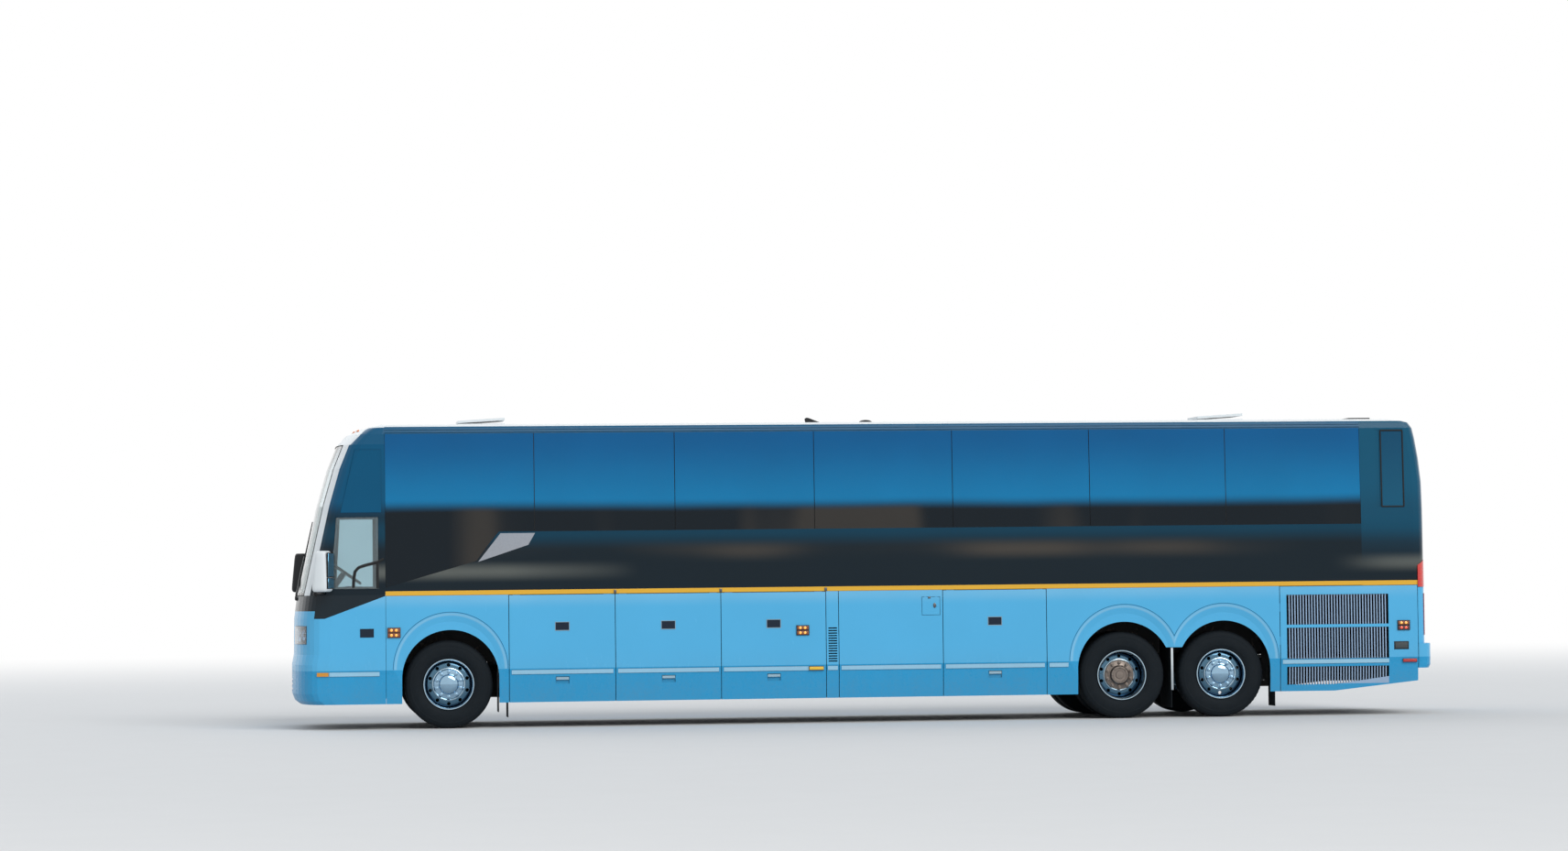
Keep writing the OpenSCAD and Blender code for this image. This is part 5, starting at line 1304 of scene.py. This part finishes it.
def wall(n, color):
    """Colour stripe, and the pale slanting panel behind the dip of the front pane."""
    color = n.mix(gold_band(n), color, GOLD)
    color = n.mix(n.within(n.z, STRIPE - 0.01, STRIPE + 0.006, 0.0006), color, (0.35, 0.20, 0.03))
    shape = n.mul(n.step(n.line(0.3315, 1.0, 3.4974), 0.0, 0.002), n.under(n.z, 2.275, 2.277),
        n.under(n.line(1.264, 1.0, 7.872), 0.0, 0.002), n.step(n.line(1.707, 1.0, 9.140), 0.0, 0.004))
    grain = n.ramp(n.noise(60.0, 3.0, 0.6), 0.2, 0.75)
    return n.mix(n.mul(shape, grain), color, (0.36, 0.38, 0.42))


def cab(n, color):
    return n.mix(n.step(n.z, 2.42, 2.70), color, DEEP)


def rear(n, color):
    """Rear cap: stripe at its corners, lighter and then white towards the top, dark vent, blue below."""
    band = n.mul(gold_band(n), n.step(n.side, 1.20, 1.205), n.step(n.x, X_CORNER - 0.01, X_CORNER - 0.005))
    color = n.mix(band, color, GOLD)
    color = n.mix(n.step(n.z, 1.75, 2.85), color, (0.005, 0.080, 0.150))
    color = n.mix(n.step(n.z, WHITE_EDGE_Z, WHITE_EDGE_Z + 0.002), color, WHITE)
    vent = n.mul(n.within(n.x, X_REAR + 0.540, X_REAR + 0.818), n.under(n.side, 0.301, 0.303),
        n.step(n.z, CROWN + 0.0005, CROWN + 0.0015))
    color = n.mix(vent, color, DARK)
    return n.mix(n.under(n.z, STRIPE - 0.001, STRIPE), color, BLUE)


def roof_gutter(n, color):
    return n.mix(n.under(n.z, WHITE_EDGE_Z, WHITE_EDGE_Z + 0.002), color, DEEP)


def cap_band(n, color):
    """Dark field on the front cap's side, with the white edge left round it."""
    field = n.mul(n.under(n.line(1.0, 1.0, 9.545), -0.05, -0.045), n.under(n.z, 3.524, 3.528),
        n.step(n.z, 3.30, 3.31), n.step(n.side, 1.10, 1.11))
    return n.mix(field, color, DEEP)


def lamp_spots(marker_x, lamp_x, lamp_z):
    return (marker_x, MARKER_Z, 0.088, 0.022, DARK), (lamp_x, lamp_z, 0.076, 0.059, DARK)


def dress_side(side, word):
    cab_lamp = ((X_POST + 0.218, 1.1255, 0.080, 0.0505, NAVY),) if side > 0 else ()
    paint("lower_" + word, body_blue("lower_%s_paint" % word, lamps=cab_lamp, black_top=front_black,
        arches=ARCH_CENTERS))
    for k in (1, 2, 3):
        lamps = lamp_spots(X_LAMPS + 0.122, X_LAMPS + 0.279, 1.098) if k == 3 else ()
        blue = body_blue("door_paint_%s_%d" % (word, k), X_BAY - (k - 0.5) * DOOR_PITCH, lamps)
        paint("luggage_door_%s_%d" % (word, k), blue)
    paint("service_door_" + word, body_blue("service_paint_" + word, X_BAY_END + DOOR_PITCH / 2))
    lamps = lamp_spots(X_CORNER + 0.110, X_CORNER + 0.180, 1.071)
    paint("grille_door_" + word, body_blue("grille_paint_" + word, None, lamps, slats=True))
    paint("side_" + word, black_gloss("belt_black_" + word, wall))
    paint("side_glass_" + word, glass("side_glass_%s_tint" % word, (0.0005, 0.110, 0.300),
        (0.004, 0.205, 0.445), 0.18, True))
    paint("cab_side_" + word, black_gloss("cab_black_" + word, cab))


def dress_nodes():
    """Gives each CAD node its own finish."""
    for side, word in SIDES:
        dress_side(side, word)
    paint("entry_door", entry_paint())
    paint("rear_cap", black_gloss("rear_cap_paint", rear))
    paint("roof_shell", white_paint("roof_white", roof_gutter))
    paint("front_cap", white_paint("front_cap_white", cap_band))
    paint("hatch_front", white_paint("hatch_white_front"))
    paint("hatch_rear", white_paint("hatch_white_rear"))
    paint("front_mask", body_blue("mask_paint", flat_side=False,
        black_top=lambda n: n.step(n.z, BLACK_Z, BLACK_Z + 0.003)))
    for node, name in (("front_bumper", "bumper_front_paint"), ("rear_bumper", "bumper_rear_paint"),
            ("engine_door", "engine_door_paint"), ("fuel_flap", "fuel_flap_paint")):
        paint(node, body_blue(name, flat_side=False))
    paint("windscreen", screen_glass())
    paint("driver_glass", cab_glass())
    paint("rear_window", glass("rear_glass_tint", (0.002, 0.075, 0.160), (0.005, 0.105, 0.200), 0.20))
    paint("headlamps", MATS["clear"])
    paint("side_lamps", side_lamp_lens())
    paint("tail_lamps", lens("tail_lamp_lens", (0.52, 0.020, 0.014), 60.0, 0.12))
    paint("mirrors", MATS["mirror_white"])
    steel = steel_paint("chassis_steel")
    for node in ("underframe", "engine", "front_axle", "drive_axle", "tag_axle", "knuckle_left",
            "knuckle_right"):
        paint(node, steel)
    paint("wheel_housings", steel_paint("housing_dark", (0.012, 0.013, 0.014)))
    paint("suspension", rubber("air_spring_rubber"))
    paint("mudflaps", rubber("flap_rubber_black"))
    paint("cabin_floor", plastic("floor_cover", (0.045, 0.047, 0.052), 0.7, 0.3, 900.0))
    paint("dashboard", plastic("dash_plastic", (0.022, 0.023, 0.025), 0.55))
    paint("parcel_racks", plastic("rack_plastic", (0.16, 0.165, 0.17), 0.5))


bpy.context.scene.view_settings.view_transform = "Standard"
make_camera()
make_stage()
MATS = make_materials()
dress_nodes()
make_wheels()
make_seats()
make_lamps()
make_front()
make_side_details()
make_rear()
make_entry()
make_roof()
